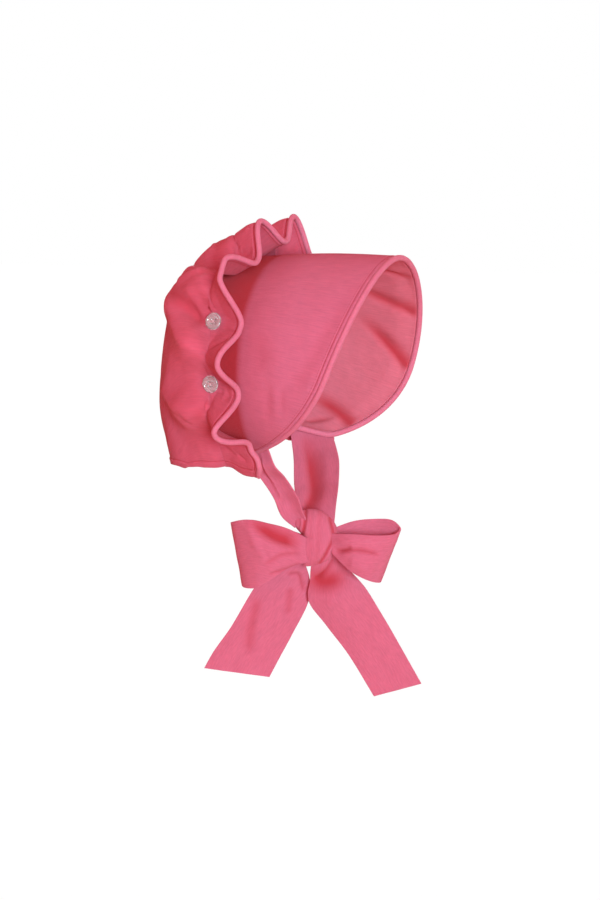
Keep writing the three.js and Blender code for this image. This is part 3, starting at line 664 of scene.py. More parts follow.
class CrownShape:
    """The crown's cloth, from the ruffle's edge over the head to the nape hem.

    The hoops' handles are shares: of the half width at the top, of the way down above and
    below the widest place, and of the way from there to the end.
    """

    STEPS = 24
    TOP_HANDLE = 0.57
    ABOVE_HANDLE = 0.44
    BELOW_HANDLE = 0.4
    END_HANDLE = 0.74
    MOST_REACH = 0.6

    def __init__(self, brim: BrimShape) -> None:
        """Sample the hoops.

        Args:
            brim: The brim that the ruffle lies on.
        """
        self.brim = brim
        self.hoops = [self.outline(hoop) for hoop in CROWN_HOOPS]

    @classmethod
    def outline(cls, hoop: Hoop) -> Outline:
        """Half outline of one hoop."""
        wide = 1 - hoop.widest

        def between(share: float) -> tuple[float, float]:
            """Place back and up at a share of the way down."""
            back = hoop.top_back + (hoop.end_back - hoop.top_back) * share
            return back, hoop.top_up + (hoop.end_up - hoop.top_up) * share

        return Outline((
            (0, *between(0)),
            (hoop.half_width * cls.TOP_HANDLE, *between(0)),
            (hoop.half_width, *between(wide * cls.ABOVE_HANDLE)),
            (hoop.half_width, *between(wide)),
            (hoop.half_width, *between(wide + (1 - wide) * cls.BELOW_HANDLE)),
            ((hoop.end_out + hoop.half_width) / 2, *between(wide + (1 - wide) * cls.END_HANDLE)),
            (hoop.end_out, *between(1)),
        ))

    def meridians(self, around: np.ndarray) -> tuple[np.ndarray, np.ndarray]:
        """Lines from the button line back to the hem.

        Args:
            around: One place for each line.

        Returns:
            Their points (lines, samples, 3) and the length at each sample.
        """
        points = np.stack([hoop.at(around) for hoop in self.hoops])
        lines = np.moveaxis(through(points, self.STEPS), 0, 1)
        return lines, run_lengths(lines)

    def lengths(self, around: np.ndarray) -> np.ndarray:
        """Length of each line from the button line to the hem."""
        return self.meridians(around)[1][:, -1]

    def base(self, around: np.ndarray, behind: np.ndarray) -> np.ndarray:
        """The crown without its ruffle's waves.

        Args:
            around: One place for each line (n).
            behind: Distances behind the button line (n, m), negative ahead of it.

        Returns:
            Points (n, m, 3).
        """
        lines, lengths = self.meridians(around)
        rows = zip(np.maximum(behind, 0), lengths, lines)
        point = np.stack([read_between(at, length, line) for at, length, line in rows])
        ahead = np.maximum(-behind, 0)
        place = np.broadcast_to(around[:, None], behind.shape)
        rib = np.linalg.norm(self.brim.front(around) - self.brim.back.at(around), axis=-1)[:, None]
        start = self.brim.face(place, np.broadcast_to(BUTTON_LINE / rib, behind.shape))
        over = self.brim.face(place, (BUTTON_LINE + ahead) / rib) - start
        hanging = smoothstep(np.abs(place), *HANGING)[..., None]
        straight = ahead[..., None] * np.array((0, -1, 0))
        point += over * (1 - hanging) + straight * hanging
        corner = smoothstep(place, *FAR_CORNER) * (1 - smoothstep(behind, *FAR_CORNER_FADE))
        lobe = smoothstep(-place, *LOBE) * smoothstep(ahead, *LOBE_START)
        point[..., 2] += FAR_CORNER_RISE * corner - LOBE_DROP * lobe
        return point

    def waves(self, around: np.ndarray) -> dict[str, np.ndarray]:
        """How the ruffle stands at each place around."""
        place = np.abs(around)
        rows = np.array([row.around for row in RUFFLE])
        after = np.clip(np.searchsorted(rows, place), 1, len(rows) - 1)
        share = (place - rows[after - 1]) / (rows[after] - rows[after - 1])
        ease = (1 - np.cos(np.pi * share)) / 2
        lifts = np.array([row.lift for row in RUFFLE])
        rising = lifts[after] > lifts[after - 1]
        pinched = np.where(rising, ease ** PINCH, 1 - (1 - ease) ** PINCH)

        def blend(values: Iterable[float]) -> np.ndarray:
            """A column of the table, between its rows."""
            column = np.array(list(values), dtype=float)
            return column[after - 1] + (column[after] - column[after - 1]) * pinched

        left = blend(row.lift if row.lift_left is None else row.lift_left for row in RUFFLE)
        return {
            "lift": np.where(around > 0, left, blend(lifts)),
            "flare": np.radians(blend(row.flare for row in RUFFLE)),
            "hold": blend(row.hold for row in RUFFLE),
            "depth": blend(row.depth for row in RUFFLE),
            "reach": np.minimum(blend(row.reach for row in RUFFLE),
                                self.lengths(around) * self.MOST_REACH),
        }

    def cloth(self, around: np.ndarray, behind: np.ndarray) -> tuple["Panel", np.ndarray]:
        """The crown's middle with its waves and main folds.

        Args:
            around: One place for each line (n).
            behind: The cloth's distances behind the button line (n, m).

        Returns:
            The panel of base points, and the raised points (n, m, 3).
        """
        wave = {name: values[:, None] for name, values in self.waves(around).items()}
        ahead = np.maximum(-behind, 0)
        fade = 1 - smoothstep(behind / wave["reach"], 0, 1)
        free = np.maximum(ahead - wave["hold"], 0) * wave["depth"] / (wave["depth"] - wave["hold"])
        rest = CROWN_WALL / 2 + CROWN_CLEARANCE
        raised = rest + (wave["lift"] - RUFFLE[0].lift) * fade + free * np.sin(wave["flare"])
        base = self.base(around, np.where(behind > 0, behind, -ahead * np.cos(wave["flare"])))
        panel = Panel(around, behind, base)
        folds = panel.raised_by(CROWN_MAIN_FOLDS) * smoothstep(behind, 0, FOLD_START)
        return panel, base + panel.normals * (raised + folds)[..., None]


class Panel:
    """A grid of cloth with the place of each point on it.

    A fold is cut off where it is several times its own width away.
    """

    PATH_STEPS = 8
    CUT_OFF = 4
    LEAST_CUT_OFF = 2

    def __init__(self, first: np.ndarray, second: np.ndarray, points: np.ndarray,
                 mirrored: bool = True) -> None:
        """Keep the grid and work out its normals.

        Args:
            first: The first place, one for each line (n).
            second: The second place (n, m), rising along each line.
            points: Points in mm (n, m, 3).
            mirrored: Whether folds given for one side are on the other too.
        """
        self.mirrored = mirrored
        self.first = first
        self.second = second
        self.points = points
        self.normals = grid_normals(points)

    def at(self, a: float, b: float) -> tuple[np.ndarray, np.ndarray]:
        """Point and normal at a place (a, b)."""
        return self.on_line(round(float(np.interp(a, self.first, np.arange(len(self.first))))), b)

    def on_line(self, line: int, b: float) -> tuple[np.ndarray, np.ndarray]:
        """Point and normal at the second place b on one of the lines."""
        rows = np.arange(self.second.shape[1])
        row = float(np.interp(b, self.second[line], rows))
        low = min(int(row), len(rows) - 2)
        share = row - low
        point = self.points[line, low] * (1 - share) + self.points[line, low + 1] * share
        return point, self.normals[line, low]

    def over_lines(self, places: np.ndarray) -> tuple[np.ndarray, np.ndarray]:
        """Points and normals of a run over the cloth, at a second place on each line."""
        spots = [self.on_line(line, b) for line, b in enumerate(places)]
        return np.array([point for point, _ in spots]), np.array([normal for _, normal in spots])

    def raise_of(self, fold: Fold) -> np.ndarray:
        """How far one fold raises each point, in mm."""
        marks = [self.at(a, b) for a, b in fold.path]
        path = through(np.array([point for point, _ in marks]), self.PATH_STEPS)
        normal = unit(np.mean([normal for _, normal in marks], axis=0))
        lengths = run_lengths(path)
        best = np.full(self.points.shape[:2], np.inf)
        aside = np.zeros_like(best)
        along = np.zeros_like(best)
        for i in range(len(path) - 1):
            run = path[i + 1] - path[i]
            size = float(np.linalg.norm(run))
            offset = self.points - path[i]
            share = offset @ run / size ** 2
            low = 0 if i > 0 else -np.inf
            high = 1 if i < len(path) - 2 else np.inf
            held = np.clip(share, low, high)
            apart = np.linalg.norm(offset - held[..., None] * run, axis=-1)
            nearer = apart < best
            best = np.where(nearer, apart, best)
            across = unit(np.cross(run, normal))
            aside = np.where(nearer, offset @ across, aside)
            along = np.where(nearer, (lengths[i] + held * size) / lengths[-1], along)
        start, end = fold.ends
        fall = 1 - smoothstep(along, 1 - end / 2, 1 + end / 2)
        ends = smoothstep(along, -start / 2, start / 2) * fall
        spread = np.where(aside > 0, fold.right, fold.left)
        shape = np.exp(-(aside / spread) ** 2)
        if fold.profile is Profile.STEP:
            shape = np.where(aside > 0, shape, np.exp(-np.abs(aside) / fold.left))
        near = best < self.CUT_OFF * np.maximum(spread, self.LEAST_CUT_OFF)
        return np.where(near, fold.rise * ends * shape, 0)

    def raised_by(self, folds: Iterable[Fold]) -> np.ndarray:
        """How far all the folds together raise each point, in mm."""
        total = np.zeros(self.points.shape[:2])
        for fold in folds:
            if not self.mirrored:
                total += self.raise_of(fold)
                continue
            middle = self.first[:, None] <= 0
            total += np.where(middle, self.raise_of(fold), 0)
            total += np.where(middle, 0, self.raise_of(fold.mirrored()))
        return total

    def hollow_of(self, folds: Iterable[Fold], deepest: float) -> np.ndarray:
        """How far each point lies in the sunken part of a fold, from 0 to 1, which sets how much shade is painted
        there.

        Args:
            folds: The panel's folds, of which only the sunken ones count.
            deepest: The depth in mm that counts as 1.

        Returns:
            One value for each point.
        """
        return np.clip(-self.raised_by(fold for fold in folds if fold.rise < 0) / deepest, 0, 1)


def cut_of(points: np.ndarray) -> dict[str, object]:
    """The flat size that a sheet was cut to, from its grid of points in mm.

    Args:
        points: Points (n, m, 3).

    Returns:
        Its width and length, and its flat area, in metres.
    """
    width = run_lengths(np.swapaxes(points, 0, 1))[:, -1].max() * MM
    length = run_lengths(points)[:, -1].max() * MM
    one = np.cross(points[1:, :-1] - points[:-1, :-1], points[:-1, 1:] - points[:-1, :-1])
    two = np.cross(points[:-1, 1:] - points[1:, 1:], points[1:, :-1] - points[1:, 1:])
    area = (np.linalg.norm(one, axis=-1).sum() + np.linalg.norm(two, axis=-1).sum()) / 2 * MM ** 2
    return {"flat": (float(width), float(length)), "area": float(min(area, width * length))}


@dataclass(frozen=True)
class Ripples:
    """Smooth unevenness of a cloth: its height and the length of a ripple each way, in mm."""

    height: float
    sizes: tuple[float, float]
    seed: float

    def over(self, places: np.ndarray) -> np.ndarray:
        """Heights from minus to plus the height, at places on the cloth in mm (n, m, 2)."""
        flat = places.reshape(-1, 2) / np.array(self.sizes)
        values = [noise.noise(Vector((a, b, self.seed))) for a, b in flat]
        return np.array(values).reshape(places.shape[:2]) * self.height


def new_object(name: str, mesh: bmesh.types.BMesh, smooth: bool = True) -> bpy.types.Object:
    """Turn a bmesh into an object in the scene.

    Args:
        name: The piece's name.
        mesh: The finished bmesh, which is freed.
        smooth: Whether the faces are shaded smooth.

    Returns:
        The object.
    """
    for face in mesh.faces:
        face.smooth = smooth
    data = bpy.data.meshes.new(name)
    mesh.to_mesh(data)
    mesh.free()
    thing = bpy.data.objects.new(name, data)
    bpy.context.collection.objects.link(thing)
    return thing


def set_uvs(mesh: bmesh.types.BMesh, places: np.ndarray) -> None:
    """Keep each vertex's place on the flat cloth, in mm (n, 2), as its UV in metres."""
    uv = mesh.loops.layers.uv.new("UVMap")
    mesh.verts.index_update()
    for face in mesh.faces:
        for loop in face.loops:
            loop[uv].uv = places[loop.vert.index] * MM


def set_marks(mesh: bmesh.types.BMesh, marks: dict[str, np.ndarray]) -> None:
    """Keep values by name, one for each vertex (n), which the material reads."""
    layers = {name: mesh.verts.layers.float.new(name) for name in marks}
    for index, vert in enumerate(mesh.verts):
        for name, layer in layers.items():
            vert[layer] = marks[name][index]


def cloth_mesh(points: np.ndarray, places: np.ndarray,
               marks: dict[str, np.ndarray] | None = None) -> bmesh.types.BMesh:
    """A sheet through a grid of points.

    Args:
        points: Points in mm (n, m, 3).
        places: Place of each point on the flat cloth, in mm (n, m, 2).
        marks: What the material reads at each point, by name (n, m).

    Returns:
        The bmesh, facing the way that its normals turn.
    """
    along, across = points.shape[0] - 1, points.shape[1] - 1
    mesh = bmesh.new()
    bmesh.ops.create_grid(mesh, x_segments=along, y_segments=across, size=0.5)
    corners = np.array([vert.co[:2] for vert in mesh.verts]) + 0.5
    lines, rows = np.rint(corners * (along, across)).astype(int).T
    for vert, point in zip(mesh.verts, points[lines, rows]):
        vert.co = point * MM
    set_uvs(mesh, places[lines, rows])
    set_marks(mesh, {name: values[lines, rows] for name, values in (marks or {}).items()})
    return mesh


def give_wall(thing: bpy.types.Object, thickness: float, rounded: bool = True) -> None:
    """Give a sheet an even wall about its middle, with softened edges.

    Args:
        thing: The sheet.
        thickness: The wall in mm.
        rounded: Whether its free edges are rounded.
    """
    wall = thing.modifiers.new("wall", "SOLIDIFY")
    wall.thickness = thickness * MM
    wall.offset = 0
    if rounded:
        edge = thing.modifiers.new("edge", "BEVEL")
        edge.width = thickness * EDGE_ROUND * MM
        edge.segments = EDGE_SEGMENTS
        edge.limit_method = "ANGLE"
        edge.angle_limit = EDGE_ANGLE


def tube_mesh(path: np.ndarray, ups: np.ndarray, radius: np.ndarray, sides: int) -> bmesh.types.BMesh:
    """A closed round cord along a path.

    Args:
        path: Points in mm (n, 3).
        ups: A direction across the cord at each point (n, 3), where the UV seam lies.
        radius: The cord's radius at each point, in mm.
        sides: Faces round the cord.

    Returns:
        The bmesh, with UVs in metres: along the cord, then round it.
    """
    runs = unit(np.gradient(path, axis=0))
    ups = square_to(ups, runs)
    rights = np.cross(runs, ups)
    turn = np.linspace(0, 2 * np.pi, sides + 1)
    ring = ups[:, None] * np.cos(turn)[:, None] + rights[:, None] * np.sin(turn)[:, None]
    points = path[:, None] + ring * radius[:, None, None]
    lengths = run_lengths(path)
    round_way = np.broadcast_to(turn * float(np.median(radius)), points.shape[:2])
    places = np.stack([np.broadcast_to(lengths[:, None], points.shape[:2]), round_way], axis=-1)
    mesh = cloth_mesh(points, places)
    bmesh.ops.remove_doubles(mesh, verts=mesh.verts[:], dist=WELD * MM)
    bmesh.ops.holes_fill(mesh, edges=[e for e in mesh.edges if e.is_boundary], sides=0)
    bmesh.ops.recalc_face_normals(mesh, faces=mesh.faces[:])
    return mesh


def rounded_ends(count: int, radius: float, blunt: int = 4, first: float = 0.6) -> np.ndarray:
    """Radii along a cord that close over its last few points."""
    radii = np.full(count, radius)
    for i in range(blunt):
        radii[i] = radius * math.sin(math.acos(1 - (i + first) / (blunt + first)))
        radii[-1 - i] = radii[i]
    return radii


@dataclass(frozen=True)
class Stitching:
    """A row of stitches: their pitch, length and thread radius, in mm.

    Each stitch aims at a point of the path a little way ahead of it.
    """

    pitch: float
    length: float
    thread: float
    aim: float = 0.5

    def build(self, name: str, path: np.ndarray, normals: np.ndarray) -> bpy.types.Object:
        """Lay the stitches along a path.

        Args:
            name: The piece's name.
            path: Points in mm (n, 3) on the cloth.
            normals: The cloth's normal at each point.

        Returns:
            One object with all the stitches.
        """
        lengths = run_lengths(path)
        count = int(lengths[-1] / self.pitch)
        mesh = bmesh.new()
        for i in range(count):
            at = (i + 0.5) * self.pitch
            place = read_between(at, lengths, path)
            run = Vector(unit(read_between(at + self.aim, lengths, path) - place))
            up = Vector(unit(read_between(at, lengths, normals)))
            side = up.cross(run).normalized()
            frame_of = Matrix((run, side, run.cross(side))).transposed().to_4x4()
            frame_of.translation = Vector(place * MM)
            scale = Matrix.Diagonal((self.length / 2 * MM, self.thread * MM, self.thread * MM, 1))
            bmesh.ops.create_uvsphere(mesh, u_segments=6, v_segments=5, radius=1, matrix=frame_of @ scale)
        return new_object(name, mesh)


class Maths:
    """A shader value that adds Math nodes when it is used in an expression."""

    def __init__(self, shader: "Shader", socket: bpy.types.NodeSocket) -> None:
        """Wrap an output socket.

        Args:
            shader: The shader that new nodes go to.
            socket: The output to wrap.
        """
        self.shader = shader
        self.socket = socket

    def combine(self, operation: str, *others: "Maths | float") -> "Maths":
        """A Math node of this value and others."""
        values = dict(enumerate((self, *others)))
        return self.shader.node("ShaderNodeMath", {"operation": operation}, values)

    def __add__(self, other: "Maths | float") -> "Maths":
        """Sum."""
        return self.combine("ADD", other)

    __radd__ = __add__

    def __mul__(self, other: "Maths | float") -> "Maths":
        """Product."""
        return self.combine("MULTIPLY", other)

    __rmul__ = __mul__

    def __sub__(self, other: "Maths | float") -> "Maths":
        """Difference."""
        return self.combine("SUBTRACT", other)

    def __rsub__(self, other: float) -> "Maths":
        """Reflected difference."""
        return (self * -1) + other

    def sine(self) -> "Maths":
        """Sine of this value."""
        return self.combine("SINE")

    def size(self) -> "Maths":
        """This value without its sign."""
        return self.combine("ABSOLUTE")

    def within(self, low: float, high: float) -> "Maths":
        """This value held between two limits."""
        return self.combine("MAXIMUM", low).combine("MINIMUM", high)


class Shader:
    """Builds one node material."""

    def __init__(self, name: str) -> None:
        """Start a material with one Principled shader.

        Args:
            name: The material's name.
        """
        self.material = bpy.data.materials.new(name)
        self.material.use_nodes = True
        self.tree = self.material.node_tree
        self.surface = self.tree.nodes["Principled BSDF"]

    def node(self, kind: str, settings: dict | None = None, inputs: dict | None = None,
             output: int | str = 0) -> Maths:
        """Add a node.

        Args:
            kind: The node's type.
            settings: Its own properties, set first.
            inputs: Values or links of its sockets, by name or number.
            output: The output that is handed back.

        Returns:
            The wrapped output.
        """
        made = self.tree.nodes.new(kind)
        for key, value in (settings or {}).items():
            setattr(made, key, value)
        for key, value in (inputs or {}).items():
            self.feed(made.inputs[key], value)
        return Maths(self, made.outputs[output])

    def feed(self, socket: bpy.types.NodeSocket, value: "Maths | float | Sequence[float]") -> None:
        """Link or set a socket."""
        if isinstance(value, Maths):
            self.tree.links.new(value.socket, socket)
        else:
            socket.default_value = value

    def uv(self) -> Maths:
        """The piece's own UV map, in metres of cloth."""
        return self.node("ShaderNodeTexCoord", output="UV")

    def object_place(self) -> Maths:
        """The place on the piece, in metres."""
        return self.node("ShaderNodeTexCoord", output="Object")

    def part(self, vector: Maths, axis: str) -> Maths:
        """One part of a vector."""
        return self.node("ShaderNodeSeparateXYZ", inputs={0: vector}, output=axis)

    def scaled(self, vector: Maths, scale: tuple[float, float, float]) -> Maths:
        """A vector scaled along each axis."""
        return self.node("ShaderNodeMapping", inputs={"Vector": vector, "Scale": scale})

    def noise(self, vector: Maths, scale: float, detail: float, roughness: float) -> Maths:
        """Noise from 0 to 1."""
        settings = {"Vector": vector, "Scale": scale, "Detail": detail, "Roughness": roughness}
        return self.node("ShaderNodeTexNoise", inputs=settings, output="Fac")

    def attribute(self, name: str) -> Maths:
        """A value stored on the mesh."""
        return self.node("ShaderNodeAttribute", {"attribute_name": name}, output="Fac")

    def mix(self, share: Maths, first: Colour | Maths, second: Colour | Maths) -> Maths:
        """A colour between two; the mix node's colour inputs are its sixth and seventh."""
        inputs = {"Factor": share, 6: first, 7: second}
        inputs = {key: (*value, 1) if isinstance(value, tuple) else value for key, value in inputs.items()}
        return self.node("ShaderNodeMix", {"data_type": "RGBA"}, inputs, output=2)

    def bump(self, height: Maths, distance: float) -> None:
        """Feed the shader's normal from a height, where 1 is a distance in metres."""
        inputs = {"Height": height, "Distance": distance, "Strength": 1}
        self.feed(self.surface.inputs["Normal"], self.node("ShaderNodeBump", inputs=inputs))

    def set(self, **values: object) -> None:
        """Set the shader's own sockets; underscores in a name stand for spaces."""
        for name, value in values.items():
            self.feed(self.surface.inputs[name.replace("_", " ")], value)


# Colours as linear red, green and blue
WHITE = (1, 1, 1)
PINK = (0.79, 0.178, 0.292)
BRIM_PINK = (0.84, 0.2, 0.34)
# Darker copy of the pink for the crown: painted shade
SHADED_CROWN_PINK = (0.755, 0.113, 0.190)
# Painted shade colour: the dark red that the cloths are mixed toward in sunken folds, grooves, seams and under the
# ruffle
SHADE_PINK = (0.60, 0.028, 0.045)
LINING = (0.82, 0.198, 0.28)
PIPING = (0.80, 0.21, 0.33)


def dimmed(colour: Colour, share: float, more: float = 0) -> Colour:
    """A colour times a share, with a little added, and at most 1."""
    return tuple(min(c * share + more, 1) for c in colour)


@dataclass(frozen=True)
class Cotton:
    """Plain woven cotton: its colours, threads, slubs and mottled dye, with lengths in mm.

    The cloth's shade mark mixes in its painted shade colour, dark red painted in sunken folds, grooves
    and under other pieces. Its edge mark is the distance from its edge in mm, by which a seam is drawn
    as a sunk line darkened with painted shade. Tones and heights are the shares of slubs, mottle and
    weave in its colour and its relief.
    """

    name: str
    colour: Colour
    deep: Colour = SHADE_PINK
    thread: float = 0.55
    slub: float = 1.1
    slub_length: float = 14
    mottle: float = 9
    tones: tuple[float, float, float] = (1.5, 0.9, 0.1)
    heights: tuple[float, float, float] = (0.85, 0.35, 0.2)
    darkest: float = 0.86
    lightest: float = 1.06
    lightest_more: float = 0.01
    seam_narrowness: float = 1.8
    seam_shade: float = 0.6
    relief: float = 0.5
    roughness: float = 0.82
    roughness_range: float = 0.1
    sheen: float = 0.15
    sheen_tint: Colour = (1, 0.6, 0.7)
    gloss: float = 0.18
    bleed: float = 0.12
    bleed_reach: float = 3
    bleed_colour: Colour = (1, 0.25, 0.3)
    ribs_along_first: bool = False

    def build(self) -> bpy.types.Material:
        """Make the material."""
        shader = Shader(self.name)
        uv = shader.uv()
        ways = (1 / (self.slub_length * MM), 1 / (self.slub * MM), 1)
        if not self.ribs_along_first:
            ways = (ways[1], ways[0], 1)
        slubs = shader.noise(shader.scaled(uv, ways), 1, 3, 0.6)
        turns = 2 * math.pi / (self.thread * MM)
        weave = (shader.part(uv, "X") * turns).sine() * (shader.part(uv, "Y") * turns).sine()
        mottle = shader.noise(uv, 1 / (self.mottle * MM), 4, 0.6)
        by_slub, by_mottle, by_weave = self.tones
        tone = (slubs - 0.5) * by_slub + (mottle - 0.5) * by_mottle + weave * by_weave
        tone = (tone + 0.5).within(0, 1)
        light = dimmed(self.colour, self.lightest, self.lightest_more)
        woven = shader.mix(tone, dimmed(self.colour, self.darkest), light)
        # Painted shade: the mesh's shade mark, and a dark line painted in the seam's crease
        hollow = shader.attribute("hollow").within(0, 1)
        from_seam = (shader.attribute("edge") - SEAM_INSET).size()
        seam = (1 - from_seam * self.seam_narrowness).within(0, 1)
        depth = (hollow + seam * self.seam_shade).within(0, 1)
        roughness = ((1 - tone) * self.roughness_range + self.roughness).within(0, 1)
        shader.set(Base_Color=shader.mix(depth, woven, self.deep), Roughness=roughness)
        by_slub, by_mottle, by_weave = self.heights
        height = slubs * by_slub + weave * by_weave + mottle * by_mottle - seam
        shader.bump(height, self.relief * MM)
        shader.set(Sheen_Weight=self.sheen, Sheen_Roughness=0.5, Sheen_Tint=(*self.sheen_tint, 1))
        shader.set(Specular_IOR_Level=self.gloss, Subsurface_Weight=self.bleed)
        shader.set(Subsurface_Scale=self.bleed_reach * MM, Subsurface_Radius=self.bleed_colour)
        return shader.material


@dataclass(frozen=True)
class Thread:
    """Sewing thread: a fine twist along each stitch, with lengths in mm."""

    name: str
    colour: Colour
    twist: float = 0.4
    darkest: float = 0.8
    relief: float = 0.1
    roughness: float = 0.6

    def build(self) -> bpy.types.Material:
        """Make the material."""
        shader = Shader(self.name)
        twist = shader.noise(shader.object_place(), 1 / (self.twist * MM), 1, 0.5)
        shader.set(Base_Color=shader.mix(twist, dimmed(self.colour, self.darkest), self.colour))
        shader.set(Roughness=self.roughness)
        shader.bump(twist, self.relief * MM)
        return shader.material


@dataclass(frozen=True)
class ClearPlastic:
    """Clear moulded plastic, slightly milky, with faint moulding haze, and lengths in mm."""

    name: str
    colour: Colour
    haze: float = 3
    milkiness: float = 0.93
    relief: float = 0.05
    roughness: float = 0.06
    roughness_range: float = 0.08
    clearness: float = 0.85
    refraction: float = 1.46
    coat: float = 0.6
    coat_roughness: float = 0.04

    def build(self) -> bpy.types.Material:
        """Make the material."""
        shader = Shader(self.name)
        haze = shader.noise(shader.object_place(), 1 / (self.haze * MM), 3, 0.5)
        shader.set(Base_Color=shader.mix(haze, dimmed(self.colour, self.milkiness), self.colour))
        shader.set(Roughness=haze * self.roughness_range + self.roughness)
        shader.bump(haze, self.relief * MM)
        shader.set(Transmission_Weight=self.clearness, IOR=self.refraction)
        shader.set(Coat_Weight=self.coat, Coat_Roughness=self.coat_roughness)
        return shader.material


BRIM_COTTON = Cotton("brim_cotton", BRIM_PINK)
# Its colour is darkened with painted shade
CROWN_COTTON = Cotton("crown_cotton", SHADED_CROWN_PINK, slub_length=8)
STRAP_COTTON = Cotton("strap_cotton", PINK, slub_length=6, ribs_along_first=True)
INNER_COTTON = Cotton("inner_cotton", LINING, relief=0.3)
PIPING_COVER = Cotton("piping_cover", PIPING, slub=1.2, slub_length=3, relief=0.3, roughness=0.7)
PINK_THREAD = Thread("pink_thread", (0.80, 0.14, 0.23))
BUTTON_THREAD = Thread("button_thread", (0.85, 0.5, 0.55))
BUTTON_PLASTIC = ClearPlastic("clear_plastic", (0.97, 0.92, 0.93))


@dataclass
class Finishes:
    """Every material of the bonnet, made once."""

    brim: bpy.types.Material = field(default_factory=BRIM_COTTON.build)
    crown: bpy.types.Material = field(default_factory=CROWN_COTTON.build)
    strap: bpy.types.Material = field(default_factory=STRAP_COTTON.build)
    lining: bpy.types.Material = field(default_factory=INNER_COTTON.build)
    piping: bpy.types.Material = field(default_factory=PIPING_COVER.build)
    thread: bpy.types.Material = field(default_factory=PINK_THREAD.build)
    knotted: bpy.types.Material = field(default_factory=BUTTON_THREAD.build)
    button: bpy.types.Material = field(default_factory=BUTTON_PLASTIC.build)


def place_piece(thing: bpy.types.Object, slot: str, material: bpy.types.Material,
                nodes: Sequence[str] = ()) -> None:
    """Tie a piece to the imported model.

    Args:
        thing: The piece.
        slot: The record's slot that it takes its finish from.
        material: Its material.
        nodes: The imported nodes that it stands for.
    """
    thing.data.materials.append(material)
    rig.ride(thing, "root")
    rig.slot(thing, slot)
    if nodes:
        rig.replaces(thing, *nodes)
    log.info("%s: %d faces", thing.name, len(thing.data.polygons))


def places_around(count: int) -> np.ndarray:
    """Even places around, from the right lower corner over the top to the left one."""
    return np.linspace(-1, 1, count + 1)


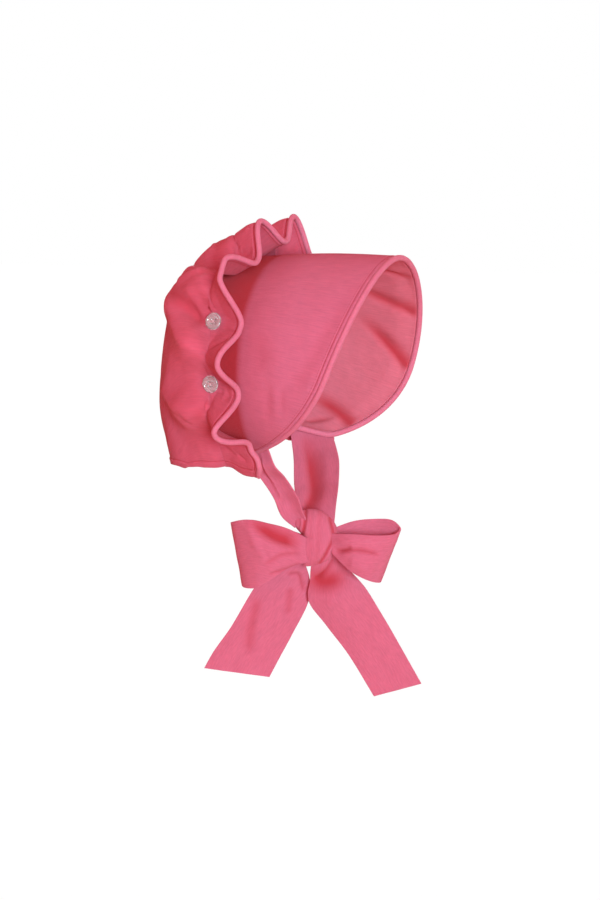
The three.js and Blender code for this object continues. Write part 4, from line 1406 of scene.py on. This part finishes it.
@dataclass
class Brim:
    """The brim's outer cloth, its lining, its covered cord and their stitches."""

    shape: BrimShape
    finishes: Finishes
    along: int = 260
    across: int = 80
    outer_folds: tuple[Fold, ...] = BRIM_FOLDS
    # Fold depth in mm for full painted shade; painted shade under the ruffle and a weaker painted shadow beside it, in
    # mm ahead of the buttons; weaker painted shade near the top centre, over places around
    outer_deepest: float = 6
    covered: tuple[float, float] = (18, 29)
    beside_ruffle: tuple[float, float] = (18, 66)
    beside_depth: float = 0.42
    top: tuple[float, float] = (0, 0.16)
    top_depth: float = 0.2
    lining_folds: tuple[Fold, ...] = LINING_FOLDS
    lining_gap: float = 1.4
    # Fold depth in mm for full painted shade in the lining, and how strong that shade is
    lining_deepest: float = 2.8
    lining_depth: float = 0.9
    lining_puff: float = 2.2
    puff_width: float = 16
    lining_ripples: Ripples = Ripples(0.8, (34, 30), 5.2)
    cord_steps: int = 400
    cord_sides: int = 14
    cord_gap: float = -0.2
    cord_inner: float = 0.97
    stitches: Stitching = Stitching(2.4, 1.7, 0.28)
    stitch_inset: float = 4.2
    stitch_end: float = 0.985
    stitch_steps: int = 600

    def cloth(self, depth: float, folds: Sequence[Fold], outward: bool) -> tuple[Panel, np.ndarray]:
        """A cloth at a depth inside the brim's outer face.

        Args:
            depth: Depth of its middle in mm.
            folds: Its folds; each place is around and a share forth.
            outward: Whether the folds stand out of the brim, or into it.

        Returns:
            The panel and its raised points.
        """
        around = places_around(self.along)
        forth = np.tile(np.linspace(0, 1, self.across + 1), (self.along + 1, 1))
        points = self.shape.inside(np.broadcast_to(around[:, None], forth.shape), forth, depth)
        panel = Panel(around, forth, points)
        if outward:
            return panel, points - panel.normals * panel.raised_by(folds)[..., None]
        from_edge = np.minimum(forth, 1 - forth) * run_lengths(points)[:, -1:]
        puff = self.lining_puff * smoothstep(from_edge, 0, self.puff_width)
        puff += self.lining_ripples.over(self.flat_places(panel))
        return panel, points + panel.normals * np.maximum(puff + panel.raised_by(folds), 0)[..., None]

    def flat_places(self, panel: Panel) -> np.ndarray:
        """Place of each point on the flat cloth, in mm: round the brim, and front to back."""
        half = self.shape.left.length
        rib = run_lengths(panel.points)
        return np.stack([np.broadcast_to(panel.first[:, None] * half, rib.shape), rib], axis=-1)

    def build_outer(self) -> None:
        """The outer cloth, with painted shade in its sunken folds and where the ruffle covers it, a painted shadow
        beside the ruffle, and painted shade at the top.
        """
        panel, points = self.cloth(BRIM_WALL / 2, self.outer_folds, outward=True)
        rib = run_lengths(panel.points)
        ahead = rib - BUTTON_LINE
        # Painted shade under the ruffle, a weaker painted shadow ahead of it, and painted shade near the top centre
        deep = 1 - smoothstep(ahead, *self.covered)
        deep += self.beside_depth * (1 - smoothstep(ahead, *self.beside_ruffle))
        deep += self.top_depth * (1 - smoothstep(np.abs(panel.first), *self.top))[:, None]
        marks = {
            "hollow": np.clip(panel.hollow_of(self.outer_folds, self.outer_deepest) + deep, 0, 1),
            "edge": rib[:, -1:] - rib,
        }
        mesh = cloth_mesh(points, self.flat_places(panel), marks)
        bmesh.ops.reverse_faces(mesh, faces=mesh.faces[:])
        thing = new_object("brim_cloth", mesh)
        give_wall(thing, BRIM_WALL)
        place_piece(thing, "pink_cotton", self.finishes.brim, ["brim"])
        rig.sheet(thing, held="stretched", rests_on=["brim_lining"], **cut_of(points))

    def build_lining(self) -> None:
        """The lining, with the short folds that it shows inside."""
        depth = BRIM_WALL + self.lining_gap * GAP + LINING_WALL / 2
        panel, points = self.cloth(depth, self.lining_folds, outward=False)
        # Painted shade in the lining's sunken folds
        hollow = panel.hollow_of(self.lining_folds, self.lining_deepest) * self.lining_depth
        mesh = cloth_mesh(points, self.flat_places(panel), {"hollow": hollow})
        thing = new_object("brim_inner_cloth", mesh)
        give_wall(thing, LINING_WALL)
        place_piece(thing, "lining_cotton", self.finishes.lining, ["brim_lining"])
        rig.sheet(thing, held="stretched", rests_on=["brim"], **cut_of(points))

    def cord_path(self) -> np.ndarray:
        """Middle of the covered cord along the front edge, in mm."""
        depth = (BRIM_WALL + GAP + LINING_WALL) / 2
        around = places_around(self.cord_steps)
        edge = self.shape.inside(around, np.ones_like(around), depth)
        inner = self.shape.inside(around, np.full_like(around, self.cord_inner), depth)
        return past_edge(edge, inner, BRIM_PIPING_RADIUS + self.cord_gap)

    def build_piping(self) -> None:
        """The covered cord along the front edge."""
        path = self.cord_path()
        radii = rounded_ends(len(path), BRIM_PIPING_RADIUS)
        ups = np.broadcast_to((0.0, 1.0, 0.0), path.shape)
        thing = new_object("brim_cord", tube_mesh(path, ups, radii, self.cord_sides))
        place_piece(thing, "piping_cotton", self.finishes.piping, ["brim_piping"])

    def build_stitches(self) -> None:
        """The row of stitches on the outer cloth beside the covered cord."""
        around = np.linspace(-self.stitch_end, self.stitch_end, self.stitch_steps)
        rib = np.linalg.norm(self.shape.front(around) - self.shape.back.at(around), axis=-1)
        forth = 1 - self.stitch_inset / rib
        path = self.shape.inside(around, forth, 0)
        normals = path - self.shape.inside(around, forth, 1)
        thing = self.stitches.build("brim_stitches", path, normals)
        place_piece(thing, "pink_cotton", self.finishes.thread)

    def build(self) -> None:
        """Make every piece of the brim."""
        self.build_outer()
        self.build_lining()
        self.build_piping()
        self.build_stitches()


@dataclass
class Crown:
    """The soft crown with its ruffle, covered cord, seam and hem."""

    shape: CrownShape
    finishes: Finishes
    along: int = 400
    flap_rows: int = 34
    back_rows: int = 82
    flap_power: float = 0.8
    back_power: float = 1.4
    folds: tuple[Fold, ...] = CROWN_FINE_FOLDS
    # Fold depth in mm for full painted shade
    deepest: float = 5.5
    ripples: tuple[Ripples, ...] = (Ripples(0.7, (30, 60), 3.1), Ripples(0.22, (10, 30), 7.7))
    ripples_start: tuple[float, float] = (6, 30)
    seam_depth: float = 0.5
    seam_width: float = 0.8
    hem_width: float = 5.6
    hem_rise: float = 0.8
    hem_step: float = 0.8
    cord_sides: int = 14
    cord_gap: float = -0.3
    seam_stitches: Stitching = Stitching(2.2, 1.5, 0.25)
    seam_inset: float = 3.4
    seam_ends: int = 2
    hem_stitches: Stitching = Stitching(2.4, 1.6, 0.25)
    hem_inset: float = 1
    hem_ends: int = 6

    def grid(self) -> tuple[np.ndarray, np.ndarray]:
        """Places of the cloth's grid: around, and mm behind the button line."""
        around = places_around(self.along)
        depth = self.shape.waves(around)["depth"][:, None]
        length = self.shape.lengths(around)[:, None]
        flap = np.linspace(0, 1, self.flap_rows, endpoint=False) ** self.flap_power - 1
        back = np.linspace(0, 1, self.back_rows + 1) ** self.back_power
        return around, np.concatenate([depth * flap, length * back], axis=1)

    def flat_places(self, around: np.ndarray, behind: np.ndarray) -> np.ndarray:
        """Place of each point on the flat cloth, in mm."""
        half = self.shape.hoops[1].length
        return np.stack([np.broadcast_to(around[:, None] * half, behind.shape), behind], axis=-1)

    def surface(self) -> tuple[Panel, np.ndarray, dict[str, np.ndarray]]:
        """The crown's middle.

        Returns:
            The finished cloth's panel, its points, and what its material reads at each.
        """
        around, behind = self.grid()
        base, raised = self.shape.cloth(around, behind)
        normals = grid_normals(raised)
        fine = base.raised_by(self.folds)
        places = self.flat_places(around, behind)
        started = smoothstep(behind, *self.ripples_start)
        for ripples in self.ripples:
            fine += ripples.over(places) * started
        to_hem = self.shape.lengths(around)[:, None] - behind
        to_side = (1 - np.abs(around))[:, None] * self.shape.hoops[1].length
        to_edge = np.minimum(to_hem, to_side)
        low, high = self.hem_width - self.hem_step, self.hem_width + self.hem_step
        fine += self.hem_rise * (1 - smoothstep(to_edge, low, high))
        from_edge = behind - behind[:, :1]
        fine -= self.seam_depth * np.exp(-((from_edge - SEAM_INSET) / self.seam_width) ** 2)
        points = raised + normals * fine[..., None]
        marks = {
            # Painted shade in sunken fine folds; the edge distance paints shade into the seam and hem creases
            "hollow": base.hollow_of(self.folds, self.deepest),
            "edge": np.minimum(from_edge, to_edge - self.hem_width + SEAM_INSET),
        }
        return Panel(around, behind, points), points, marks

    def build_cloth(self) -> Panel:
        """The crown's cloth.

        Returns:
            Its panel, which the cord and the stitches sit on.
        """
        panel, points, marks = self.surface()
        places = self.flat_places(panel.first, panel.second)
        thing = new_object("crown_cloth", cloth_mesh(points, places, marks))
        give_wall(thing, CROWN_WALL, rounded=False)
        place_piece(thing, "pink_cotton", self.finishes.crown, ["crown"])
        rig.sheet(thing, held="gathered", rests_on=["brim"], **cut_of(points))
        return panel

    def build_piping(self, panel: Panel) -> None:
        """The covered cord along the ruffle's wavy edge."""
        inner, _ = panel.over_lines(panel.second[:, 0] + 1)
        path = past_edge(panel.points[:, 0], inner, RUFFLE_PIPING_RADIUS + self.cord_gap)
        radii = rounded_ends(len(path), RUFFLE_PIPING_RADIUS)
        thing = new_object("ruffle_cord", tube_mesh(path, panel.normals[:, 0], radii, self.cord_sides))
        place_piece(thing, "piping_cotton", self.finishes.piping, ["ruffle_piping"])

    def build_stitches(self, name: str, stitches: Stitching, ends: int,
                       line: tuple[np.ndarray, np.ndarray]) -> None:
        """A row of stitches on the outside of the cloth.

        Args:
            name: The piece's name.
            stitches: Their sizes.
            ends: How many of the line's points are left out at each end.
            line: Points and normals of the cloth's middle.
        """
        points, normals = (values[ends:-ends] for values in line)
        thing = stitches.build(name, points + normals * (CROWN_WALL / 2), normals)
        place_piece(thing, "pink_cotton", self.finishes.thread)

    def build(self) -> None:
        """Make every piece of the crown, with its stitches behind the ruffle's cord and at the hem."""
        panel = self.build_cloth()
        self.build_piping(panel)
        seam = panel.over_lines(panel.second[:, 0] + self.seam_inset)
        self.build_stitches("ruffle_stitches", self.seam_stitches, self.seam_ends, seam)
        hem = panel.over_lines(panel.second[:, -1] - self.hem_width + self.hem_inset)
        self.build_stitches("hem_stitches", self.hem_stitches, self.hem_ends, hem)


@dataclass
class Buttons:
    """The clear four-hole buttons along the button line, with their threads."""

    finishes: Finishes
    radius: float = 6.35
    thickness: float = 2.6
    rim: float = 1.6
    dish: float = 0.9
    hole: float = 0.75
    hole_place: float = 1.7
    thread: float = 0.42
    thread_reach: float = 1.25
    thread_sunk: float = 0.6
    foot_share: float = 0.8
    steps: int = 48

    def profile(self) -> list[tuple[float, float]]:
        """Half section of a button, from the middle of its foot over the rim to its dished top."""
        r, t = self.radius, self.thickness
        return [
            (0, 0), (r * 0.7, 0), (r * 0.86, t * 0.1), (r * 0.94, t * 0.3), (r * 0.985, t * 0.5),
            (r, t * 0.68), (r - 0.15, t * 0.85), (r - 0.5, t * 0.97), (r - 0.85, t), (r - 1.2, t * 0.95),
            (r - self.rim, t - self.dish * 0.55), (r - self.rim - 0.7, t - self.dish * 0.9),
            (r * 0.5, t - self.dish), (0, t - self.dish),
        ]

    def disc(self) -> bmesh.types.BMesh:
        """A button lying at the origin, in mm, its axis along +Z."""
        mesh = bmesh.new()
        verts = [mesh.verts.new((x, 0, z)) for x, z in self.profile()]
        edges = [mesh.edges.new(pair) for pair in zip(verts, verts[1:])]
        bmesh.ops.spin(mesh, geom=verts + edges, cent=(0, 0, 0), axis=(0, 0, 1), angle=2 * math.pi,
                       steps=self.steps, use_merge=True)
        bmesh.ops.remove_doubles(mesh, verts=mesh.verts[:], dist=0.001)
        bmesh.ops.recalc_face_normals(mesh, faces=mesh.faces[:])
        return mesh

    def holed(self) -> bpy.types.Mesh:
        """A button with its four holes, in mm."""
        disc = new_object("button_blank", self.disc())
        cutter_mesh = bmesh.new()
        for turn in range(4):
            angle = math.radians(45 + 90 * turn)
            spot = Vector((math.cos(angle), math.sin(angle), 0)) * self.hole_place
            bmesh.ops.create_cone(cutter_mesh, cap_ends=True, segments=16, radius1=self.hole,
                                  radius2=self.hole, depth=self.thickness * 3,
                                  matrix=Matrix.Translation(spot))
        cutter = new_object("button_cutter", cutter_mesh)
        cut = disc.modifiers.new("holes", "BOOLEAN")
        cut.object = cutter
        cut.operation = "DIFFERENCE"
        cut.solver = "EXACT"
        graph = bpy.context.evaluated_depsgraph_get()
        data = bpy.data.meshes.new_from_object(disc.evaluated_get(graph))
        bpy.data.objects.remove(disc)
        bpy.data.objects.remove(cutter)
        return data

    def threads(self) -> bmesh.types.BMesh:
        """Two crossed threads over the dish, in mm."""
        mesh = bmesh.new()
        reach = self.hole_place * self.thread_reach
        height = self.thickness - self.dish + self.thread * self.thread_sunk
        for angle in (math.radians(45), math.radians(135)):
            turn = Matrix.Rotation(angle, 4, "Z")
            scale = Matrix.Diagonal((reach, self.thread, self.thread, 1))
            matrix = Matrix.Translation((0, 0, height)) @ turn @ scale
            bmesh.ops.create_uvsphere(mesh, u_segments=12, v_segments=10, radius=1, matrix=matrix)
        return mesh

    def build(self) -> None:
        """Put a button on each packed button's place."""
        holed = self.holed()
        names = sorted(name for name in frame["nodes"] if name.startswith("button_"))
        for name in names:
            place = self.seat_of(frame["nodes"][name])
            mesh = bmesh.new()
            mesh.from_mesh(holed)
            bmesh.ops.transform(mesh, matrix=place, verts=mesh.verts[:])
            bmesh.ops.recalc_face_normals(mesh, faces=mesh.faces[:])
            disc = new_object(f"{name}_disc", mesh)
            place_piece(disc, "clear_button", self.finishes.button, [name])
            threads = self.threads()
            bmesh.ops.transform(threads, matrix=place, verts=threads.verts[:])
            cross = new_object(f"{name}_thread", threads)
            place_piece(cross, "pink_cotton", self.finishes.knotted)

    def seat_of(self, node: bpy.types.Object) -> Matrix:
        """Where a packed button lies.

        Args:
            node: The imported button.

        Returns:
            The matrix that puts a button made in mm on its foot, in metres.
        """
        points = np.array([vert.co[:] for vert in node.data.vertices])
        middle = points.mean(axis=0)
        _, _, ways = np.linalg.svd(points - middle, full_matrices=False)
        axis = ways[2]
        heart = np.array((0, 0, -BRIM_MIDDLE * MM))
        if np.dot(axis, middle - heart) < 0:
            axis = -axis
        heights = (points - middle) @ axis
        rims = np.linalg.norm(points - middle - np.outer(heights, axis), axis=1)
        foot = middle + axis * float(heights[rims < self.radius * self.foot_share * MM].min())
        turn = Vector((0, 0, 1)).rotation_difference(Vector(axis)).to_matrix().to_4x4()
        return Matrix.Translation(foot) @ turn @ Matrix.Scale(MM, 4)


@dataclass
class Strap:
    """One stretch of tie between the knot and its other end."""

    name: str
    node: str
    sections: tuple[Section, ...]
    folds: tuple[Fold, ...]
    facing: float = 1
    along: int = 150
    across: int = 56
    steps: int = 24
    ripple: float = 0.5
    ripple_sizes: tuple[float, float] = (30, 14)
    # Fold depth in mm for full painted shade, and how strong that shade is
    deepest: float = 3.4
    depth: float = 0.85

    def panel(self) -> Panel:
        """The strap's base; each place is a share along and a share across."""
        edge_a = through(np.array([row.a for row in self.sections], dtype=float), self.steps)
        edge_b = through(np.array([row.b for row in self.sections], dtype=float), self.steps)
        share = np.linspace(0, 1, self.along + 1)
        samples = np.arange(len(edge_a))
        at = share * samples[-1]
        a, b = read_between(at, samples, edge_a), read_between(at, samples, edge_b)
        sags = [row.sag for row in self.sections]
        sag = np.interp(at, np.arange(len(sags)) * self.steps, sags)
        across = np.linspace(0, 1, self.across + 1)
        grid = a[:, None] * (1 - across)[:, None] + b[:, None] * across[:, None]
        grid[..., 2] += sag[:, None] * np.sin(np.pi * across)
        points = grid @ BOW_AXES + BOW_CENTRE
        panel = Panel(share, np.tile(across, (self.along + 1, 1)), points, mirrored=False)
        panel.normals *= self.facing
        return panel

    def build(self, knot: "Knot", material: bpy.types.Material) -> None:
        """Make the strap, ending just inside the knot.

        Each strap's ripples are read elsewhere in the noise, by the length of its name.

        Args:
            knot: The knot that holds it.
            material: Its cloth.
        """
        panel = self.panel()
        lengths = run_lengths(panel.points[:, self.across // 2])
        widths = run_lengths(panel.points)
        places = np.stack([np.broadcast_to(lengths[:, None], widths.shape), widths], axis=-1)
        ripples = Ripples(self.ripple, self.ripple_sizes, len(self.name))
        fine = panel.raised_by(self.folds) + ripples.over(places)
        points = panel.points + panel.normals * fine[..., None]
        # Painted shade in the strap's sunken folds
        hollow = panel.hollow_of(self.folds, self.deepest) * self.depth
        mesh = cloth_mesh(points, places, {"hollow": hollow})
        hidden = [face for face in mesh.faces if all(knot.holds(vert.co) for vert in face.verts)]
        bmesh.ops.delete(mesh, geom=hidden, context="FACES")
        thing = new_object(self.name, mesh)
        give_wall(thing, TIE_WALL)
        place_piece(thing, "pink_cotton", material, [self.node])
        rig.sheet(thing, held="folded", rests_on=["knot"], **cut_of(points))


@dataclass(frozen=True)
class Groove:
    """A groove in the knot: its path over the front (right, up), depth and width, in mm."""

    path: tuple[tuple[float, float], ...]
    depth: float
    width: float


@dataclass
class Knot:
    """The knot: a strap wrapped over the crossing, pulled into lengthwise folds."""

    finishes: Finishes
    outline: tuple[tuple[float, float], ...] = (
        (-9.8, 22), (-1.5, 21.2), (6.8, 15.9), (12.9, 7.6), (14.4, -0.8), (11.4, -9), (3, -19),
        (-3.8, -21.2), (-12.1, -22), (-12.9, 1.5), (-15.5, 4.5), (-19.5, 10), (-19, 17),
        (-14, 20.5),
    )
    toward: float = 10
    around: int = 160
    over: int = 96
    grooves: tuple[Groove, ...] = (
        Groove(((0, 21), (-1.5, 8), (-2, -6), (-3, -20)), 0.45, 2.2),
        Groove(((7.5, 15), (9.8, 2.3), (4.5, -10.6), (0, -19)), 2.2, 1.3),
        Groove(((-7, 20), (-7.5, 8), (-7, -6), (-8, -20)), 0.35, 1.8),
        Groove(((12.5, 8), (12.5, -2), (9, -11)), 0.5, 1.1),
        Groove(((-10.5, 23), (-11.5, 13), (-13.5, 3)), 2.6, 1.2),
        Groove(((-16, 18), (-15.5, 12), (-16.5, 6)), 0.8, 0.9),
    )
    groove_steps: int = 12
    rim_fade: float = 3
    squareness: float = 0.15
    # Groove depth in mm for full painted shade, and the most shade painted
    deepest: float = 3
    most_depth: float = 0.8
    well_inside: float = 0.8

    def radius_at(self, angle: np.ndarray) -> np.ndarray:
        """The outline's distance from the middle at each angle."""
        corners = np.array(self.outline)
        angles = np.arctan2(corners[:, 1], corners[:, 0])
        sizes = np.linalg.norm(corners, axis=1)
        return np.interp(angle, angles, sizes, period=2 * math.pi)

    def holds(self, place: Vector) -> bool:
        """Whether a place, in metres, is well inside the knot."""
        right, up, toward = BOW_AXES @ (np.array(place) / MM - BOW_CENTRE)
        size = float(self.radius_at(np.array(math.atan2(up, right))))
        return (right ** 2 + up ** 2) / size ** 2 + (toward / self.toward) ** 2 < self.well_inside

    def build(self) -> None:
        """Make the knot; its grooves fade out toward its rim."""
        mesh = bmesh.new()
        bmesh.ops.create_uvsphere(mesh, u_segments=self.around, v_segments=self.over, radius=1)
        ball = np.array([vert.co[:] for vert in mesh.verts])
        size = self.radius_at(np.arctan2(ball[:, 1], ball[:, 0]))
        flat = np.maximum(np.linalg.norm(ball[:, :2], axis=1), 0.01)
        place = ball[:, :2] * size[:, None] * (flat ** -self.squareness)[:, None]
        toward = ball[:, 2] * self.toward
        sink = np.zeros(len(ball))
        for groove in self.grooves:
            spots = np.array([(*spot, 0) for spot in groove.path], dtype=float)
            line = through(spots, self.groove_steps)[:, :2]
            apart = np.linalg.norm(place[:, None] - line[None], axis=-1).min(axis=1)
            sink += groove.depth * np.exp(-(apart / groove.width) ** 2)
        toward -= sink * np.sign(toward) * np.clip(np.abs(ball[:, 2]) * self.rim_fade, 0, 1)
        points = np.stack([place[:, 0], place[:, 1], toward], axis=-1) @ BOW_AXES + BOW_CENTRE
        for vert, point in zip(mesh.verts, points):
            vert.co = point * MM
        bmesh.ops.recalc_face_normals(mesh, faces=mesh.faces[:])
        set_uvs(mesh, place[:, ::-1])
        # Painted shade in the grooves
        set_marks(mesh, {"hollow": np.clip(sink / self.deepest, 0, self.most_depth)})
        thing = new_object("knot_wrap", mesh)
        place_piece(thing, "pink_cotton", self.finishes.strap, ["knot"])
        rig.padded(thing, fill=0.8)


@dataclass
class Bow:
    """The knot, its two loops and tails, and the ties up to the brim."""

    finishes: Finishes

    def straps(self) -> list[Strap]:
        """Every stretch of tie."""
        return [
            Strap("tie_left_cloth", "tie_left", TIE_LEFT, TIE_LEFT_FOLDS),
            Strap("tie_right_cloth", "tie_right", TIE_RIGHT, TIE_RIGHT_FOLDS),
            Strap("front_loop", "bow_loop_front", LOOP_FRONT, FRONT_LOOP_FOLDS, facing=-1),
            Strap("back_loop", "bow_loop_back", LOOP_BACK, BACK_LOOP_FOLDS),
            Strap("front_tail", "bow_tail_front", TAIL_FRONT, FRONT_TAIL_FOLDS),
            Strap("back_tail", "bow_tail_back", TAIL_BACK, BACK_TAIL_FOLDS),
        ]

    def build(self) -> None:
        """Make every piece of the bow."""
        knot = Knot(self.finishes)
        knot.build()
        for strap in self.straps():
            strap.build(knot, self.finishes.strap)


def direction(azimuth: float, elevation: float) -> Vector:
    """The direction toward a viewer or a light, from its azimuth and elevation in degrees."""
    a, e = math.radians(azimuth), math.radians(elevation)
    return Vector((math.sin(a) * math.cos(e), -math.cos(a) * math.cos(e), math.sin(e)))


def aimed(name: str, data: bpy.types.Camera | bpy.types.Light, back: Vector) -> bpy.types.Object:
    """A camera or light in the scene, facing against the direction toward it."""
    thing = bpy.data.objects.new(name, data)
    thing.rotation_euler = back.to_track_quat("Z", "Y").to_euler()
    bpy.context.collection.objects.link(thing)
    return thing


@dataclass(frozen=True)
class Sun:
    """A broad soft light: where it comes from and how wide it is, in degrees."""

    name: str
    azimuth: float
    elevation: float
    strength: float
    spread: float
    colour: Colour

    def build(self) -> None:
        """Put the light in the scene."""
        data = bpy.data.lights.new(self.name, "SUN")
        data.energy = self.strength
        data.color = self.colour
        data.angle = math.radians(self.spread)
        aimed(self.name, data, direction(self.azimuth, self.elevation))


@dataclass
class Studio:
    """The floor, the lights and the camera at the photograph's angle."""

    distance: float = 1.6
    target: tuple[float, float, float] = (0.0145, -0.0312, -0.1435)
    focal_pixels: float = 2091.5
    picture_height: float = 900
    sensor: float = 36
    farthest: float = 100
    floor_down: float = 1.6
    floor_size: float = 40
    floor_base: Colour = (0.02, 0.02, 0.02)
    fill: Colour = (0.60, 0.055, 0.045)
    suns: tuple[Sun, ...] = (
        Sun("key", -52, 5, 3.35, 24, (0.67, 0.97, 1)),
        Sun("back", 130, 30, 0.5, 60, (0.75, 0.97, 1)),
    )

    def camera(self) -> None:
        """Put the camera where the photograph was taken from."""
        data = bpy.data.cameras.new("camera")
        data.sensor_fit = "VERTICAL"
        data.sensor_height = self.sensor
        data.sensor_width = self.sensor
        data.lens = self.sensor * self.focal_pixels / self.picture_height
        data.clip_end = self.farthest
        back = direction(PHOTO_AZIMUTH, PHOTO_ELEVATION)
        thing = aimed("camera", data, back)
        thing.location = Vector(self.target) + back * self.distance
        bpy.context.scene.camera = thing

    def world(self) -> None:
        """A surround that is white where it is seen or mirrored, and the fill's colour as light."""
        world = bpy.data.worlds.new("surround")
        bpy.context.scene.world = world
        world.use_nodes = True
        nodes, links = world.node_tree.nodes, world.node_tree.links
        soft = nodes["Background"]
        soft.inputs["Color"].default_value = (*self.fill, 1)
        plain = nodes.new("ShaderNodeBackground")
        plain.inputs["Color"].default_value = (*WHITE, 1)
        path = nodes.new("ShaderNodeLightPath")
        mix = nodes.new("ShaderNodeMixShader")
        either = nodes.new("ShaderNodeMath")
        either.operation = "MAXIMUM"
        links.new(path.outputs["Is Camera Ray"], either.inputs[0])
        links.new(path.outputs["Is Glossy Ray"], either.inputs[1])
        links.new(either.outputs[0], mix.inputs[0])
        links.new(soft.outputs[0], mix.inputs[1])
        links.new(plain.outputs[0], mix.inputs[2])
        links.new(mix.outputs[0], nodes["World Output"].inputs["Surface"])

    def floor(self) -> None:
        """A plain pale floor, well below the hanging ties."""
        mesh = bmesh.new()
        below = Matrix.Translation((0, 0, -self.floor_down))
        bmesh.ops.create_grid(mesh, x_segments=1, y_segments=1, size=self.floor_size, matrix=below)
        thing = new_object("floor", mesh, smooth=False)
        shader = Shader("pale_floor")
        shader.set(Base_Color=(*self.floor_base, 1), Roughness=1.0, Specular_IOR_Level=0.0)
        shader.set(Emission_Color=(*WHITE, 1), Emission_Strength=1.0)
        thing.data.materials.append(shader.material)
        thing.visible_diffuse = False
        thing.visible_shadow = False
        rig.stage(thing)

    def build(self) -> None:
        """Set up the camera, the lights and the floor."""
        self.camera()
        self.floor()
        self.world()
        for sun in self.suns:
            sun.build()
        bpy.context.scene.view_settings.view_transform = "Standard"


def write_sizes() -> None:
    """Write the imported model's box and the visual model's."""
    boxes = {"cad": cad_box, "visual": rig.bounds()}
    plain = {name: [[float(x) for x in corner] for corner in box] for name, box in boxes.items()}
    with open(SIZE_FILE, "w", encoding="utf-8") as out:
        json.dump(plain, out)


def main() -> None:
    """Build the studio and every piece of the bonnet."""
    logging.basicConfig(level=logging.INFO, format="%(message)s")
    Studio().build()
    finishes = Finishes()
    brim_shape = BrimShape()
    Brim(brim_shape, finishes).build()
    Crown(CrownShape(brim_shape), finishes).build()
    Buttons(finishes).build()
    Bow(finishes).build()


if __name__ == "__main__":
    main()
    write_sizes()
